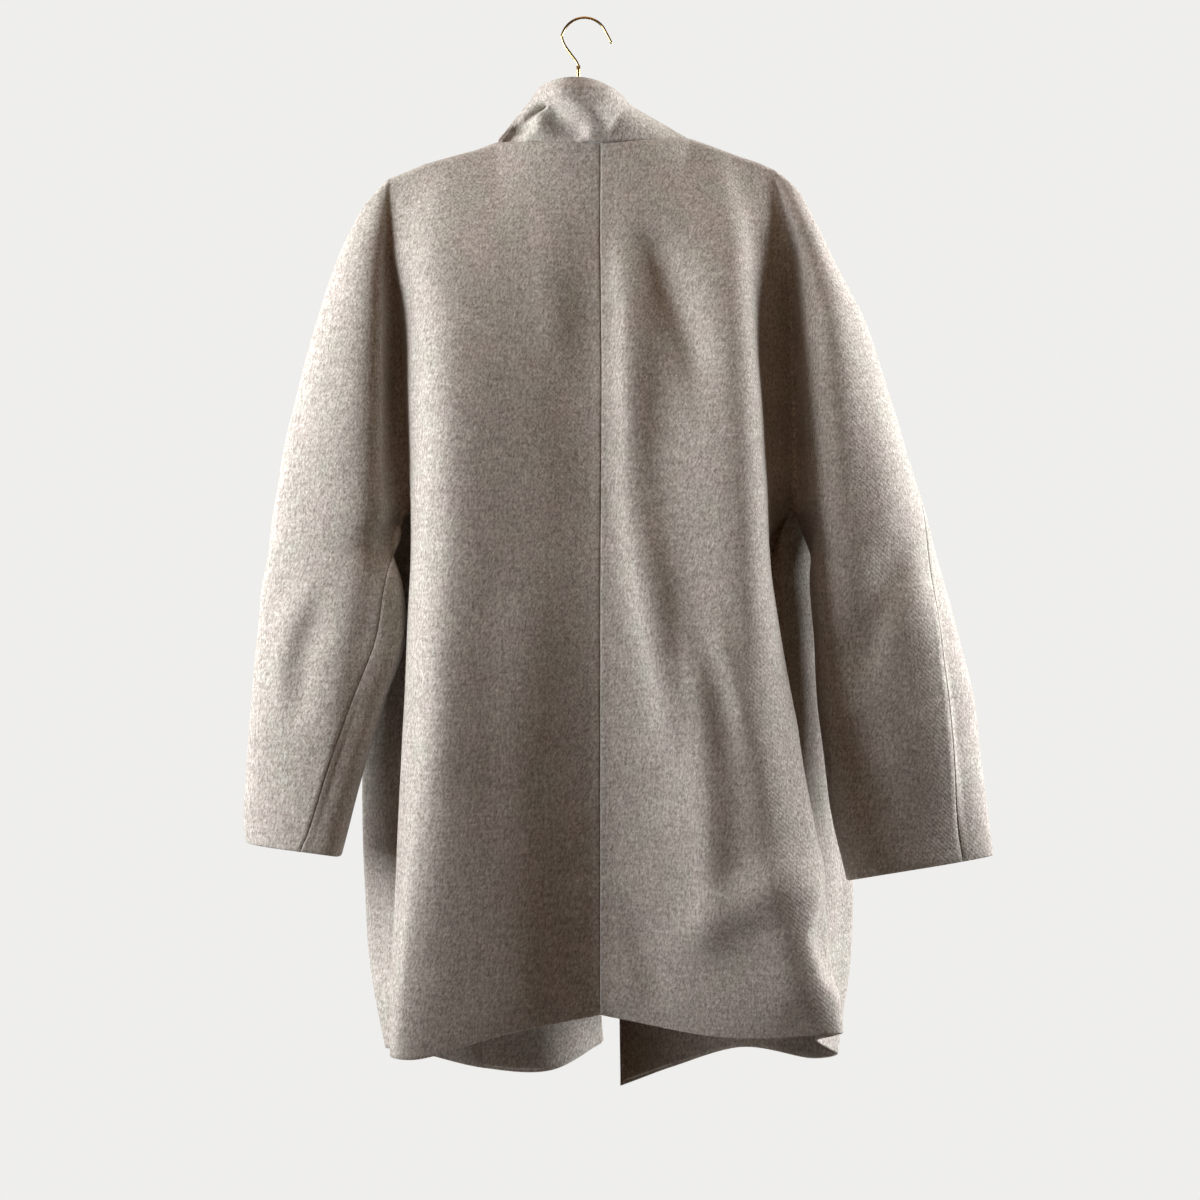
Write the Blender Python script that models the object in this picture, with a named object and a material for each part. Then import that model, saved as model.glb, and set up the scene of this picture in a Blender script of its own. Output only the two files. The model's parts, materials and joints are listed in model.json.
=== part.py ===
"""Cocoon coat of thick wool, hanging back to front on a slim hanger with a wire hook.

The coat has kimono sleeves: each back and each front is cut in one with its half of the sleeve, so there is
no armhole seam. It is modelled as one hollow surface for each half, read from level sections down the body
and the sleeve, and then parted at the seams into walls of the cloth's thickness.

Frame: the origin is the inner crest of the hook, +Z is up, the coat's back faces -Y and the wearer's left is -X.
The tables and the functions below work in millimetres, and the meshes are made in metres.
"""

import bpy
import numpy as np

METRE = 0.001
CLOTH = 3.0
COLLAR_INSIDE_CLOTH = 2.4
FACING_CLOTH = 2.5
SEAM_GAP = 0.3
SIDES = {"left": -1, "right": 1}

CENTRE_BACK_X = 17.0
SHOULDER_RADIUS = 8.0
SHOULDER_EASE = 0.6
BULGE_RADIUS_TOP = 13.0
BULGE_RADIUS_HEM = 18.0
CROTCH_LEVEL = 5
CROTCH_SPREAD = 0.8
CROTCH_SHARES = (1.0, 0.55, 0.15)
CROTCH_MITRE = 2.2
MITRE_LIMIT = 0.55
FACING_HEM_STEP = 4.0
FACING_GAP = 0.5
FACING_TOP_ROW = 4

# Depth of the body's section at each level, from the back (-Y) to the front (+Y).
DEPTH_COLUMNS = ("z", "centre", "middle", "valley", "front_valley", "bulge", "front_1", "front_2", "edge")
DEPTHS = (
    (-240, -42, -45, -13, 18, 30, 42, 40, 36),
    (-300, -52, -56, -5, 17, 34, 47, 46, 42),
    (-380, -64, -68, -2, 15, 38, 53, 53, 48),
    (-440, -70, -75, -8, 10, 40, 58, 58, 53),
    (-474, -73, -78, -12, 4, 40, 59, 60, 55),
    (-495, -74, -79, -6, -6, 40, 60, 61, 56),
    (-560, -78, -84, -10, -10, 40, 62, 65, 60),
    (-650, -78, -88, -12, -12, 40, 64, 70, 66),
    (-750, -74, -90, -15, -15, 40, 64, 75, 72),
    (-850, -66, -90, -17, -17, 38, 62, 77, 78),
    (-950, -56, -87, -18, -18, 34, 60, 79, 84),
)

# Places across the body at the same levels: where the back turns the corner, with the corner's depth and how far
# it is rounded across and deep; the bottom of the valley beside the sleeve and then the side seam; the furthest
# reach of the front; and the front edge. The left corner is rounder than the right one.
WIDTH_COLUMNS = ("ridge", "ridge_depth", "round_across", "round_deep", "valley", "bulge", "edge")
WIDTHS = {
    "left": (
        (-175, -27, 30, 13, -192, -184, 0),
        (-166, -33, 31, 19, -186, -180, 1),
        (-163, -40, 32, 24, -184, -182, 2),
        (-162, -44, 33, 26, -180, -187, 3),
        (-162, -46, 33, 27, -176, -194, 3),
        (-162, -47, 33, 27, -172, -199, 4),
        (-164, -50, 33, 29, -158, -206, 5),
        (-169, -56, 32, 28, -154, -214, 7),
        (-174, -63, 30, 25, -158, -225, 9),
        (-179, -71, 28, 19, -163, -224, 11),
        (-182, -79, 26, 12, -167, -217, 14),
    ),
    "right": (
        (167, -37, 17, 9, 204, 186, 33),
        (165, -52, 17, 9, 208, 188, 33),
        (169, -64, 18, 10, 211, 200, 33),
        (174, -70, 18, 10, 212, 216, 34),
        (177, -73, 19, 10, 211, 229, 34),
        (178, -74, 19, 11, 208, 237, 34),
        (184, -76, 20, 13, 195, 241, 34),
        (197, -79, 21, 14, 204, 249, 35),
        (212, -82, 22, 14, 216, 264, 35),
        (227, -83, 23, 14, 226, 275, 36),
        (240, -84, 24, 12, 232, 271, 36),
    ),
}
HEM_ROUND_ACROSS = 24.0
HEM_ROUND_DEEP = 8.0

# The hem at each station of the body's section.
HEM_COLUMNS = ("x", "y", "z")
HEM = {
    "left": {
        "centre": (17, -48, -987),
        "middle": (-80, -80, -999),
        "ridge": (-182, -85, -1017),
        "valley": (-168, -22, -1024),
        "bulge": (-198, 2, -1030),
        "turn": (-176, 20, -1037),
        "front_1": (-104, 74, -1068),
        "front_2": (-35, 84, -1073),
        "edge": (18, 118, -1052),
    },
    "right": {
        "centre": (17, -48, -987),
        "middle": (132, -80, -999),
        "ridge": (248, -85, -994),
        "valley": (232, -25, -1016),
        "bulge": (258, 24, -1042),
        "turn": (236, 50, -1052),
        "front_1": (166, 92, -1050),
        "front_2": (93, 80, -1068),
        "edge": (37, 22, -1073),
    },
}

# The sleeve's oval section: its middle depth, how deep it is from there to its back and to its front, its two
# edges, and how far the cloth has turned round it, in degrees, towards the back at the left underarm seam and the
# right overarm seam.
SLEEVE_COLUMNS = ("z", "middle", "back_depth", "front_depth", "inner", "outer", "twist")
SLEEVES = {
    "left": (
        (-240, -6, 24, 28, -196, -243, 0),
        (-300, -10, 31, 38, -195, -262, 0),
        (-380, -14, 33, 47, -196, -284, 6),
        (-440, -17, 33, 52, -194, -297, 18),
        (-474, -18, 33, 54, -192, -303, 32),
        (-495, -19, 33, 55, -189, -306, 44),
        (-560, -22, 32, 57, -180, -315, 63),
        (-620, -24, 32, 58, -175, -321, 79),
        (-680, -26, 32, 57, -194, -326, 85),
        (-750, -29, 32, 55, -216, -330, 91),
        (-800, -31, 32, 55, -229, -333, 96),
    ),
    "right": (
        (-240, -6, 28, 28, 210, 247, 0),
        (-300, -10, 40, 38, 213, 278, 0),
        (-380, -14, 50, 46, 216, 304, -3),
        (-440, -17, 54, 50, 219, 322, -8),
        (-474, -18, 56, 51, 220, 332, -15),
        (-495, -19, 57, 52, 221, 338, -21),
        (-560, -22, 58, 54, 225, 355, -38),
        (-620, -24, 57, 54, 228, 371, -48),
        (-680, -26, 52, 50, 231, 385, -51),
        (-750, -29, 43, 42, 239, 393, -51),
        (-800, -31, 33, 32, 246, 399, -51),
    ),
}
CUFF_COLUMNS = ("middle", "back_depth", "front_depth", "inner", "outer", "inner_z", "outer_z", "twist")
CUFFS = {
    "left": (-33, 32, 55, -237, -330, -832, -819, 101),
    "right": (-33, 24, 24, 259, 404, -856, -831, -51),
}
# How far the crest of the sleeve's back leans towards the body: 1 is in the middle.
SLEEVE_LEAN = {"left": 1.9, "right": 1.3}

# The shoulder seam from the neck to the hanger's tip, and the places on it of the section's stations.
SHOULDER_LINE = {
    "left": ((-86, -123), (-106, -131), (-158, -146), (-195, -161), (-203, -169), (-216, -185), (-224, -199)),
    "right": ((107, -121), (135, -130), (176, -144), (191, -151), (204, -161), (214, -172), (225, -190)),
}
SHOULDER_STATIONS = {
    "left": {"neck": -86, "before_ridge": -130, "ridge": -158, "after_ridge": -174, "valley": -186, "tip": -224},
    "right": {"neck": 107, "before_ridge": 134, "ridge": 155, "after_ridge": 168, "valley": 181, "tip": 225},
}
NECK_BACK = (17, -26, -131)
NECK_FRONT = {"left": (-2, 31, -200), "right": (34, 31, -200)}

# Angles of the sleeve's stations, from the overarm seam at 0 to the underarm seam at 180.
SLEEVE_ANGLES = (155, 130, 108, 88, 66, 44, 22)

# How many columns each stretch of the section gets, from centre back to the underarm and round to the front edge.
BACK_SPANS = (5, 3, 2, 2, 2)
FRONT_SPANS = (2, 2, 2, 2, 3, 3)
# Rows: shares of the way from the shoulder seam to the first level, then rows between the levels.
SHOULDER_ROWS = (0.0, 0.03, 0.1, 0.22, 0.42, 0.7, 1.0)
UPPER_ROWS = (2, 2, 2, 1, 1)
BODY_ROWS = (2, 2, 3, 3, 3, 3)
SLEEVE_ROWS = (2, 2, 2, 2, 1, 1)

# Soft folds that the hanging cloth has: from and to a place on the back or front, half width and height.
FOLD_COLUMNS = ("face", "from_x", "from_z", "to_x", "to_z", "half_width", "height")
FOLDS = (
    ("back", 42, -235, 46, -500, 20, 6),
    ("back", 46, -480, 88, -720, 20, 7),
    ("back", 62, -215, 116, -380, 24, -5),
    ("back", 98, -640, 118, -890, 22, 5),
    ("back", 86, -915, 215, -832, 20, 5),
    ("back", -70, -320, -95, -980, 40, -4),
    ("front", -90, -300, -110, -960, 40, 6),
    ("front", 110, -320, 130, -960, 40, 7),
    ("front", -45, -420, -60, -960, 32, -4),
)

# The standing collar's top edge, as an oval in plan whose height changes round it.
COLLAR_TOP = {"centre_x": -6.5, "half_width": 40.5, "back_depth": 44, "front_depth": 40}
COLLAR_TOP_Z = {"back": -66, "left": -72, "right": -76, "front": -138}
COLLAR_ROWS = (0.0, 0.17, 0.34, 0.5, 0.66, 0.83, 1.0)
COLLAR_FRONT_OPENING = 12.0
# Folds of the collapsed collar at the back: from and to, half width and height as above.
COLLAR_FOLDS = (
    ("back", -84, -126, -34, -96, 8, -8),
    ("back", -36, -78, 26, -120, 14, 5),
    ("back", -38, -104, 0, -126, 12, -4),
)

# The hanger: a slim bar that follows the shoulder seams, and a wire hook.
STEM_X = -4.6
HOOK_WIRE_RADIUS = 1.25
HOOK_SOCKET_RADIUS = 1.9
HOOK_CENTRE = (1.5, -21.7)
HOOK_RADIUS = 23.0
HOOK_LEFT_ANGLE = 170.0
HOOK_RIGHT_ANGLE = 22.0
HOOK_TIP = (28.5, -24.0)
HOOK_SWAN_NECK = ((-18.6, -25.5), (-12.5, -34.5), (-6.6, -42.5))
HOOK_SOCKET_TOP = -47.0
ARM_HALF_WIDTH = 2.5
ARM_HEIGHT = 9.0
ARM_SIDES = 10
# The top of the bar from tip to tip, under the shoulder seams.
ARM_COLUMNS = ("x", "top")
ARM_LINE = (
    (-187, -164.5),
    (-185, -163.3),
    (-158, -152),
    (-106, -140),
    (-86, -138),
    (-74, -134),
    (-60, -127),
    (-30, -110.5),
    (-12, -103),
    (-4.6, -101.5),
    (3, -103),
    (25, -108.5),
    (60, -120),
    (92, -133),
    (107, -136.5),
    (135, -140),
    (176, -150),
    (179, -151.3),
    (181, -152.5),
)

# Colour, roughness and metallic share of each material.
WOOL = ((0.47, 0.43, 0.39), 0.92, 0.0)
BRASS = ((0.80, 0.62, 0.30), 0.25, 1.0)
BAR_FINISH = ((0.86, 0.84, 0.80), 0.6, 0.0)


def clear_scene():
    for old in list(bpy.data.objects):
        bpy.data.objects.remove(old)


def make_material(name, colour, roughness, metallic):
    material = bpy.data.materials.new(name)
    material.use_nodes = True
    surface = material.node_tree.nodes["Principled BSDF"]
    surface.inputs["Base Color"].default_value = (*colour, 1.0)
    surface.inputs["Roughness"].default_value = roughness
    surface.inputs["Metallic"].default_value = metallic
    return material


def column(table, columns, name):
    """One named column of a table as an array."""
    return np.array([row[columns.index(name)] for row in table], float)


def lerp(a, b, share):
    return np.asarray(a, float) * (1 - share) + np.asarray(b, float) * share


def curve_through(stations, spans):
    """Points on a smooth curve through the stations, with the given number of steps in each span."""
    stations = np.asarray(stations, float)
    first = 2 * stations[0] - stations[1]
    last = 2 * stations[-1] - stations[-2]
    padded = np.vstack([first, stations, last])
    reach = np.sqrt(np.linalg.norm(np.diff(padded, axis=0), axis=1)).clip(1e-6)
    points = [stations[0]]
    for i, steps in enumerate(spans):
        p0, p1, p2, p3 = padded[i:i + 4]
        d0, d1, d2 = reach[i:i + 3]
        m1 = (p1 - p0) / d0 - (p2 - p0) / (d0 + d1) + (p2 - p1) / d1
        m2 = (p2 - p1) / d1 - (p3 - p1) / (d1 + d2) + (p3 - p2) / d2
        for k in range(1, steps + 1):
            points.append(hermite(p1, p2, m1 * d1, m2 * d1, k / steps))
    return np.array(points)


def hermite(start, end, start_slope, end_slope, t):
    return (
        (2 * t**3 - 3 * t**2 + 1) * start
        + (t**3 - 2 * t**2 + t) * start_slope
        + (3 * t**2 - 2 * t**3) * end
        + (t**3 - t**2) * end_slope
    )


def rows_between(levels, rows, first_slope=None, last_slope=None):
    """Rows of points between levels of points, smooth down each column. Levels are (n, columns, 3)."""
    levels = np.asarray(levels, float)
    reach = np.abs(np.diff(levels[:, :, 2].mean(1)))
    slopes = np.zeros_like(levels)
    steps = np.diff(levels, axis=0) / reach[:, None, None]
    slopes[0] = steps[0] if first_slope is None else first_slope
    slopes[-1] = steps[-1] if last_slope is None else last_slope
    for i in range(1, len(levels) - 1):
        share = reach[i - 1] / (reach[i - 1] + reach[i])
        slopes[i] = lerp(steps[i - 1], steps[i], share)
    made = [levels[0]]
    for i, count in enumerate(rows):
        for k in range(1, count + 1):
            made.append(
                hermite(levels[i], levels[i + 1], slopes[i] * reach[i], slopes[i + 1] * reach[i], k / count)
            )
    return np.array(made), slopes


def body_stations(side, level):
    """The body's named stations at a level, as (x, y, z), or at the hem where level is None."""
    out = SIDES[side]
    if level is None:
        found = {name: np.array(point, float) for name, point in HEM[side].items()}
        across, deep = HEM_ROUND_ACROSS, HEM_ROUND_DEEP
    else:
        depth = dict(zip(DEPTH_COLUMNS, DEPTHS[level]))
        width = dict(zip(WIDTH_COLUMNS, WIDTHS[side][level]))
        z = depth["z"]
        down = (DEPTHS[0][0] - z) / (DEPTHS[0][0] - DEPTHS[-1][0])
        radius = BULGE_RADIUS_TOP + (BULGE_RADIUS_HEM - BULGE_RADIUS_TOP) * down
        across, deep = width["round_across"], width["round_deep"]
        found = {
            "centre": (CENTRE_BACK_X, depth["centre"], z),
            "middle": ((CENTRE_BACK_X + width["ridge"]) / 2, depth["middle"], z),
            "ridge": (width["ridge"], width["ridge_depth"], z),
            "valley": (width["valley"], depth["valley"], z),
            "front_valley": (width["valley"], depth["front_valley"], z),
            "bulge": (width["bulge"], depth["bulge"], z),
            "edge": (width["edge"], depth["edge"], z),
        }
        found = {name: np.array(point, float) for name, point in found.items()}
        turn = found["bulge"] + (-out * 1.3 * radius, 0.85 * radius, 0)
        found["turn"] = turn
        found["front_1"] = lerp(turn, found["edge"], 0.36)
        found["front_1"][1] = depth["front_1"]
        found["front_2"] = lerp(turn, found["edge"], 0.72)
        found["front_2"][1] = depth["front_2"]
    found.setdefault("front_valley", found["valley"])
    found["before_ridge"] = found["ridge"] + (-out * across, -deep, 0)
    found["after_ridge"] = lerp(found["ridge"], found["valley"], 0.4)
    found["before_bulge"] = lerp(found["bulge"], found["front_valley"], 0.4)
    return found


BACK_STATIONS = ("centre", "middle", "before_ridge", "ridge", "after_ridge", "valley")
FRONT_STATIONS = ("front_valley", "before_bulge", "bulge", "turn", "front_1", "front_2", "edge")


def sleeve_point(side, level, angle):
    """A point of the sleeve's oval: angle 0 is the overarm seam, +90 its front and -90 its back."""
    if level is None:
        cuff = dict(zip(CUFF_COLUMNS, CUFFS[side]))
        middle, back, front = cuff["middle"], cuff["back_depth"], cuff["front_depth"]
        inner, outer, twist = cuff["inner"], cuff["outer"], cuff["twist"]
    else:
        z, middle, back, front, inner, outer, twist = SLEEVES[side][level]
    if level is not None and level <= CROTCH_LEVEL:
        twist *= (1 + np.cos(np.radians(angle))) / 2
    turn = np.radians(angle + twist)
    share = (1 + np.cos(turn)) / 2
    at_back = np.sin(turn) < 0
    x = inner + (outer - inner) * (share ** SLEEVE_LEAN[side] if at_back else share)
    y = middle + (back if at_back else front) * np.sin(turn)
    if level is None:
        z = cuff["inner_z"] + (cuff["outer_z"] - cuff["inner_z"]) * share
    return np.array((x, y, z), float)


def sleeve_arc(side, level):
    """The sleeve's stations between its two underarm ends, back first."""
    back = [sleeve_point(side, level, -a) for a in SLEEVE_ANGLES]
    front = [sleeve_point(side, level, a) for a in reversed(SLEEVE_ANGLES)]
    return back + [sleeve_point(side, level, 0)] + front


def upper_section(side, level):
    """The whole half section at a level above the underarm, from centre back to front edge."""
    body = body_stations(side, level)
    stations = [body[n] for n in BACK_STATIONS] + sleeve_arc(side, level) + [body[n] for n in FRONT_STATIONS]
    return curve_through(stations, BACK_SPANS + (1,) * (2 * len(SLEEVE_ANGLES) + 2) + FRONT_SPANS)


def body_section(side, level):
    """The body alone below the underarm, from centre back over the side seam to the front edge."""
    body = body_stations(side, level)
    stations = [body[n] for n in BACK_STATIONS] + [body[n] for n in FRONT_STATIONS[1:]]
    return curve_through(stations, BACK_SPANS + FRONT_SPANS)


def sleeve_section(side, level):
    """The sleeve alone below the underarm, from its underarm seam round to it again."""
    seam = sleeve_point(side, level, 180)
    return np.array([seam] + sleeve_arc(side, level) + [seam])


BACK_COLUMNS = sum(BACK_SPANS)
SLEEVE_HALF = len(SLEEVE_ANGLES) + 1
OVERARM = BACK_COLUMNS + SLEEVE_HALF
FRONT_VALLEY = BACK_COLUMNS + 2 * SLEEVE_HALF
FRONT_EDGE = FRONT_VALLEY + sum(FRONT_SPANS)
NECK = BACK_SPANS[0]


def shoulder_height(side, x):
    line = sorted(SHOULDER_LINE[side])
    return float(np.interp(x, [p[0] for p in line], [p[1] for p in line]))


def shoulder_row(side):
    """Row 0: the neckline, and the shoulder seam that the back and the front share."""
    at = SHOULDER_STATIONS[side]
    xs = [at["neck"]]
    names = ("neck", "before_ridge", "ridge", "after_ridge", "valley", "tip")
    for start, end, count in zip(names, names[1:], BACK_SPANS[1:] + (SLEEVE_HALF,)):
        xs += [at[start] + (at[end] - at[start]) * k / count for k in range(1, count + 1)]
    seam = [np.array((x, 0.0, shoulder_height(side, x))) for x in xs]
    neck = seam[0]
    back_neck = np.array(NECK_BACK, float)
    front_neck = np.array(NECK_FRONT[side], float)
    back = []
    for k in range(NECK):
        share = k / NECK
        point = lerp(back_neck, neck, share)
        point[1] = back_neck[1] * (1 - share**2)
        back.append(point)
    row = back + seam
    row += [row[2 * OVERARM - c] for c in range(OVERARM + 1, FRONT_EDGE - NECK + 1)]
    for k in range(1, NECK + 1):
        share = k / NECK
        point = lerp(neck, front_neck, share)
        point[1] = front_neck[1] * share**0.8
        point[2] = neck[2] + (front_neck[2] - neck[2]) * share**1.3
        row.append(point)
    return np.array(row)


def shoulder_rows(top, level, next_level):
    """Rows from the shoulder seam to the first level, rolled over the seam and running smoothly into the next."""
    columns = np.arange(FRONT_EDGE + 1)
    rolled = np.clip(np.minimum(columns, FRONT_EDGE - columns) / NECK, 0, 1)
    rolled = rolled * np.clip(np.abs(columns - OVERARM) / 1.5, 0, 1)
    sides = np.sign(columns - OVERARM)
    reach = level - top
    drop = np.abs(reach[:, 2])[:, None]
    ahead = (next_level - level) / np.abs((next_level - level)[:, 2].mean())
    slope = lerp(reach / drop, ahead, SHOULDER_EASE)
    end_slope = slope * drop
    start_slope = 1.5 * reach - 0.5 * end_slope
    rows = []
    for share in SHOULDER_ROWS:
        into = np.linalg.norm(reach, axis=1) * share
        arc = np.sqrt(1 - (1 - np.clip(into / SHOULDER_RADIUS, 0, 1)) ** 2)
        row = hermite(top, level, start_slope, end_slope, share)
        row[:, 1] += sides * rolled * SHOULDER_RADIUS * arc * (1 - share) ** 1.2
        rows.append(row)
    return np.array(rows), slope


def fold_height(face, points, folds=FOLDS):
    """How far the soft folds lift each point of the back or front."""
    lift = np.zeros(points.shape[:-1])
    for row in folds:
        fold = dict(zip(FOLD_COLUMNS, row))
        if fold["face"] != face:
            continue
        start = np.array((fold["from_x"], fold["from_z"]), float)
        along = np.array((fold["to_x"], fold["to_z"]), float) - start
        place = points[..., (0, 2)] - start
        share = (place @ along) / (along @ along)
        nearest = place - np.clip(share, 0, 1)[..., None] * along
        across = np.linalg.norm(nearest, axis=-1) / fold["half_width"]
        ends = np.clip(1 - np.abs(2 * share - 1), 0, 1)
        lift += fold["height"] * np.exp(-(across**2)) * np.sqrt(ends)
    return lift


def half_coat(side):
    """Rows of points over one half of the coat: the upper part, the body and the sleeve below the underarm."""
    levels = [upper_section(side, i) for i in range(CROTCH_LEVEL + 1)]
    body_levels = [body_section(side, i) for i in range(CROTCH_LEVEL + 1, len(DEPTHS))] + [body_section(side, None)]
    sleeve_levels = [sleeve_section(side, i) for i in range(CROTCH_LEVEL + 1, len(SLEEVES[side]))]
    sleeve_levels.append(sleeve_section(side, None))

    top = shoulder_row(side)
    shoulder, first_slope = shoulder_rows(top, levels[0], levels[1])

    crotch = levels[CROTCH_LEVEL]
    body_start = np.vstack([crotch[:BACK_COLUMNS + 1], crotch[FRONT_VALLEY + 1:]])
    sleeve_start = crotch[BACK_COLUMNS:FRONT_VALLEY + 1]
    next_body, next_sleeve = body_levels[0], sleeve_levels[0]
    gap = abs(DEPTHS[CROTCH_LEVEL][0] - DEPTHS[CROTCH_LEVEL + 1][0])
    below = crotch.copy()
    below[:BACK_COLUMNS] = next_body[:BACK_COLUMNS]
    below[BACK_COLUMNS + 1:FRONT_VALLEY] = next_sleeve[1:-1]
    below[FRONT_VALLEY + 1:] = next_body[BACK_COLUMNS + 1:]
    middle = (next_body[BACK_COLUMNS] + next_sleeve[0]) / 2
    below[BACK_COLUMNS] = middle
    below[FRONT_VALLEY] = middle
    near = abs(DEPTHS[CROTCH_LEVEL - 1][0] - DEPTHS[CROTCH_LEVEL][0])
    before = (crotch - levels[CROTCH_LEVEL - 1]) / near
    after = (below - crotch) / gap
    crotch_slope = lerp(before, after, near / (near + gap))

    upper, _ = rows_between(levels, UPPER_ROWS, first_slope, crotch_slope)
    body_slope = np.vstack([crotch_slope[:BACK_COLUMNS + 1], crotch_slope[FRONT_VALLEY + 1:]])
    sleeve_slope = crotch_slope[BACK_COLUMNS:FRONT_VALLEY + 1].copy()
    for step, share in enumerate(CROTCH_SHARES):
        for c in {BACK_COLUMNS - step, BACK_COLUMNS + step}:
            body_slope[c, 0] -= SIDES[side] * CROTCH_SPREAD * share
        for c in (step, -1 - step):
            sleeve_slope[c, 0] += SIDES[side] * CROTCH_SPREAD * share
    body, _ = rows_between([body_start] + body_levels, BODY_ROWS, body_slope)
    sleeve, _ = rows_between([sleeve_start] + sleeve_levels, SLEEVE_ROWS, sleeve_slope)
    upper = np.vstack([shoulder[:-1], upper])
    return {"upper": upper, "body": body, "sleeve": sleeve}


def add_folds(parts):
    """Lifts the soft folds out of the back (towards -Y) and out of the front (towards +Y)."""
    for name in ("upper", "body"):
        points = parts[name]
        front_start = FRONT_VALLEY if name == "upper" else BACK_COLUMNS
        points[:, :BACK_COLUMNS, 1] -= fold_height("back", points[:, :BACK_COLUMNS])
        points[:, front_start + 1:, 1] += fold_height("front", points[:, front_start + 1:])


class Surface:
    """The coat's outer surface: shared points and the triangles of each panel."""

    def __init__(self):
        self.points = []
        self.ids = {}
        self.panels = {}

    def point(self, key, place):
        if key not in self.ids:
            self.ids[key] = len(self.points)
            self.points.append(place)
        return self.ids[key]

    def quads(self, panel, grid, flip):
        faces = self.panels.setdefault(panel, [])
        for r in range(len(grid) - 1):
            for c in range(len(grid[0]) - 1):
                quad = [grid[r][c], grid[r + 1][c], grid[r + 1][c + 1], grid[r][c + 1]]
                quad = list(dict.fromkeys(quad))
                if len(quad) == 4:
                    a, b, d, e = (np.asarray(self.points[i]) for i in quad)
                    if np.linalg.norm(a - d) > np.linalg.norm(b - e):
                        quad = quad[1:] + quad[:1]
                    split = [[quad[0], quad[1], quad[2]], [quad[0], quad[2], quad[3]]]
                else:
                    split = [quad] if len(quad) == 3 else []
                faces += [face[::-1] if flip else face for face in split]

    def finish(self):
        self.points = np.array(self.points, float)
        normals = np.zeros_like(self.points)
        for faces in self.panels.values():
            for face in faces:
                corners = self.points[face]
                area = np.cross(corners[1] - corners[0], corners[2] - corners[0])
                area /= max(np.linalg.norm(area), 1e-9)
                for k in range(3):
                    one = corners[(k + 1) % 3] - corners[k]
                    two = corners[(k + 2) % 3] - corners[k]
                    cosine = one @ two / max(np.linalg.norm(one) * np.linalg.norm(two), 1e-9)
                    normals[face[k]] += area * np.arccos(np.clip(cosine, -1, 1))
        normals /= np.linalg.norm(normals, axis=1).clip(1e-9)[:, None]
        spread = np.zeros(len(self.points))
        counts = np.zeros(len(self.points))
        for faces in self.panels.values():
            for face in faces:
                corners = self.points[face]
                area = np.cross(corners[1] - corners[0], corners[2] - corners[0])
                area /= max(np.linalg.norm(area), 1e-9)
                spread[face] += normals[face] @ area
                counts[face] += 1
        even = (spread / counts.clip(1)).clip(MITRE_LIMIT, 1)
        self.normals = normals / even[:, None]


def add_half(surface, side):
    """Adds one half of the coat to the surface, sharing the points that its seams share."""
    parts = half_coat(side)
    add_folds(parts)
    upper, body, sleeve = parts["upper"], parts["body"], parts["sleeve"]
    crotch_row = len(upper) - 1
    flip = side == "left"

    def upper_id(r, c):
        if r == 0 and OVERARM < c <= FRONT_EDGE - NECK:
            c = 2 * OVERARM - c
        if r == crotch_row and c == FRONT_VALLEY:
            c = BACK_COLUMNS
        key = ("centre", r) if c == 0 else (side, "upper", r, c)
        return surface.point(key, upper[r, c])

    def body_id(r, c):
        if r == 0:
            return upper_id(crotch_row, c if c <= BACK_COLUMNS else c + 2 * SLEEVE_HALF)
        key = ("centre", crotch_row + r) if c == 0 else (side, "body", r, c)
        return surface.point(key, body[r, c])

    def sleeve_id(r, c):
        if r == 0:
            return upper_id(crotch_row, BACK_COLUMNS + c)
        if c == 2 * SLEEVE_HALF:
            c = 0
        return surface.point((side, "sleeve", r, c), sleeve[r, c])

    upper_grid = [[upper_id(r, c) for c in range(FRONT_EDGE + 1)] for r in range(crotch_row + 1)]
    body_grid = [[body_id(r, c) for c in range(body.shape[1])] for r in range(len(body))]
    sleeve_grid = [[sleeve_id(r, c) for c in range(2 * SLEEVE_HALF + 1)] for r in range(len(sleeve))]
    back, front = f"back_{side}", f"front_{side}"
    surface.quads(back, [row[:OVERARM + 1] for row in upper_grid], flip)
    surface.quads(back, [row[:BACK_COLUMNS + 1] for row in body_grid], flip)
    surface.quads(back, [row[:SLEEVE_HALF + 1] for row in sleeve_grid], flip)
    surface.quads(front, [row[OVERARM:] for row in upper_grid], flip)
    surface.quads(front, [row[BACK_COLUMNS:] for row in body_grid], flip)
    surface.quads(front, [row[SLEEVE_HALF:] for row in sleeve_grid], flip)
    return {"upper": upper_grid, "body": body_grid, "crotch": upper_grid[crotch_row][BACK_COLUMNS]}


def seam_shift(faces, points, normals, gap):
    """Moves the points on a panel's edge into the panel by half the seam gap."""
    counts = {}
    for face in faces:
        for a, b in zip(face, face[1:] + face[:1]):
            counts[(a, b)] = counts.get((a, b), 0) + 1
    rim = [(a, b) for (a, b) in counts if (b, a) not in counts]
    inward = {}
    for a, b in rim:
        along = points[b] - points[a]
        for end in (a, b):
            side = np.cross(normals[end], along)
            side /= max(np.linalg.norm(side), 1e-9)
            inward.setdefault(end, []).append(side)
    moved = points.copy()
    for end, sides in inward.items():
        total = np.sum(sides, axis=0)
        size = np.linalg.norm(total) / len(sides)
        total /= max(np.linalg.norm(total), 1e-9)
        moved[end] = points[end] + total * (gap / 2) / max(size, 0.5)
    return moved, rim


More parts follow.
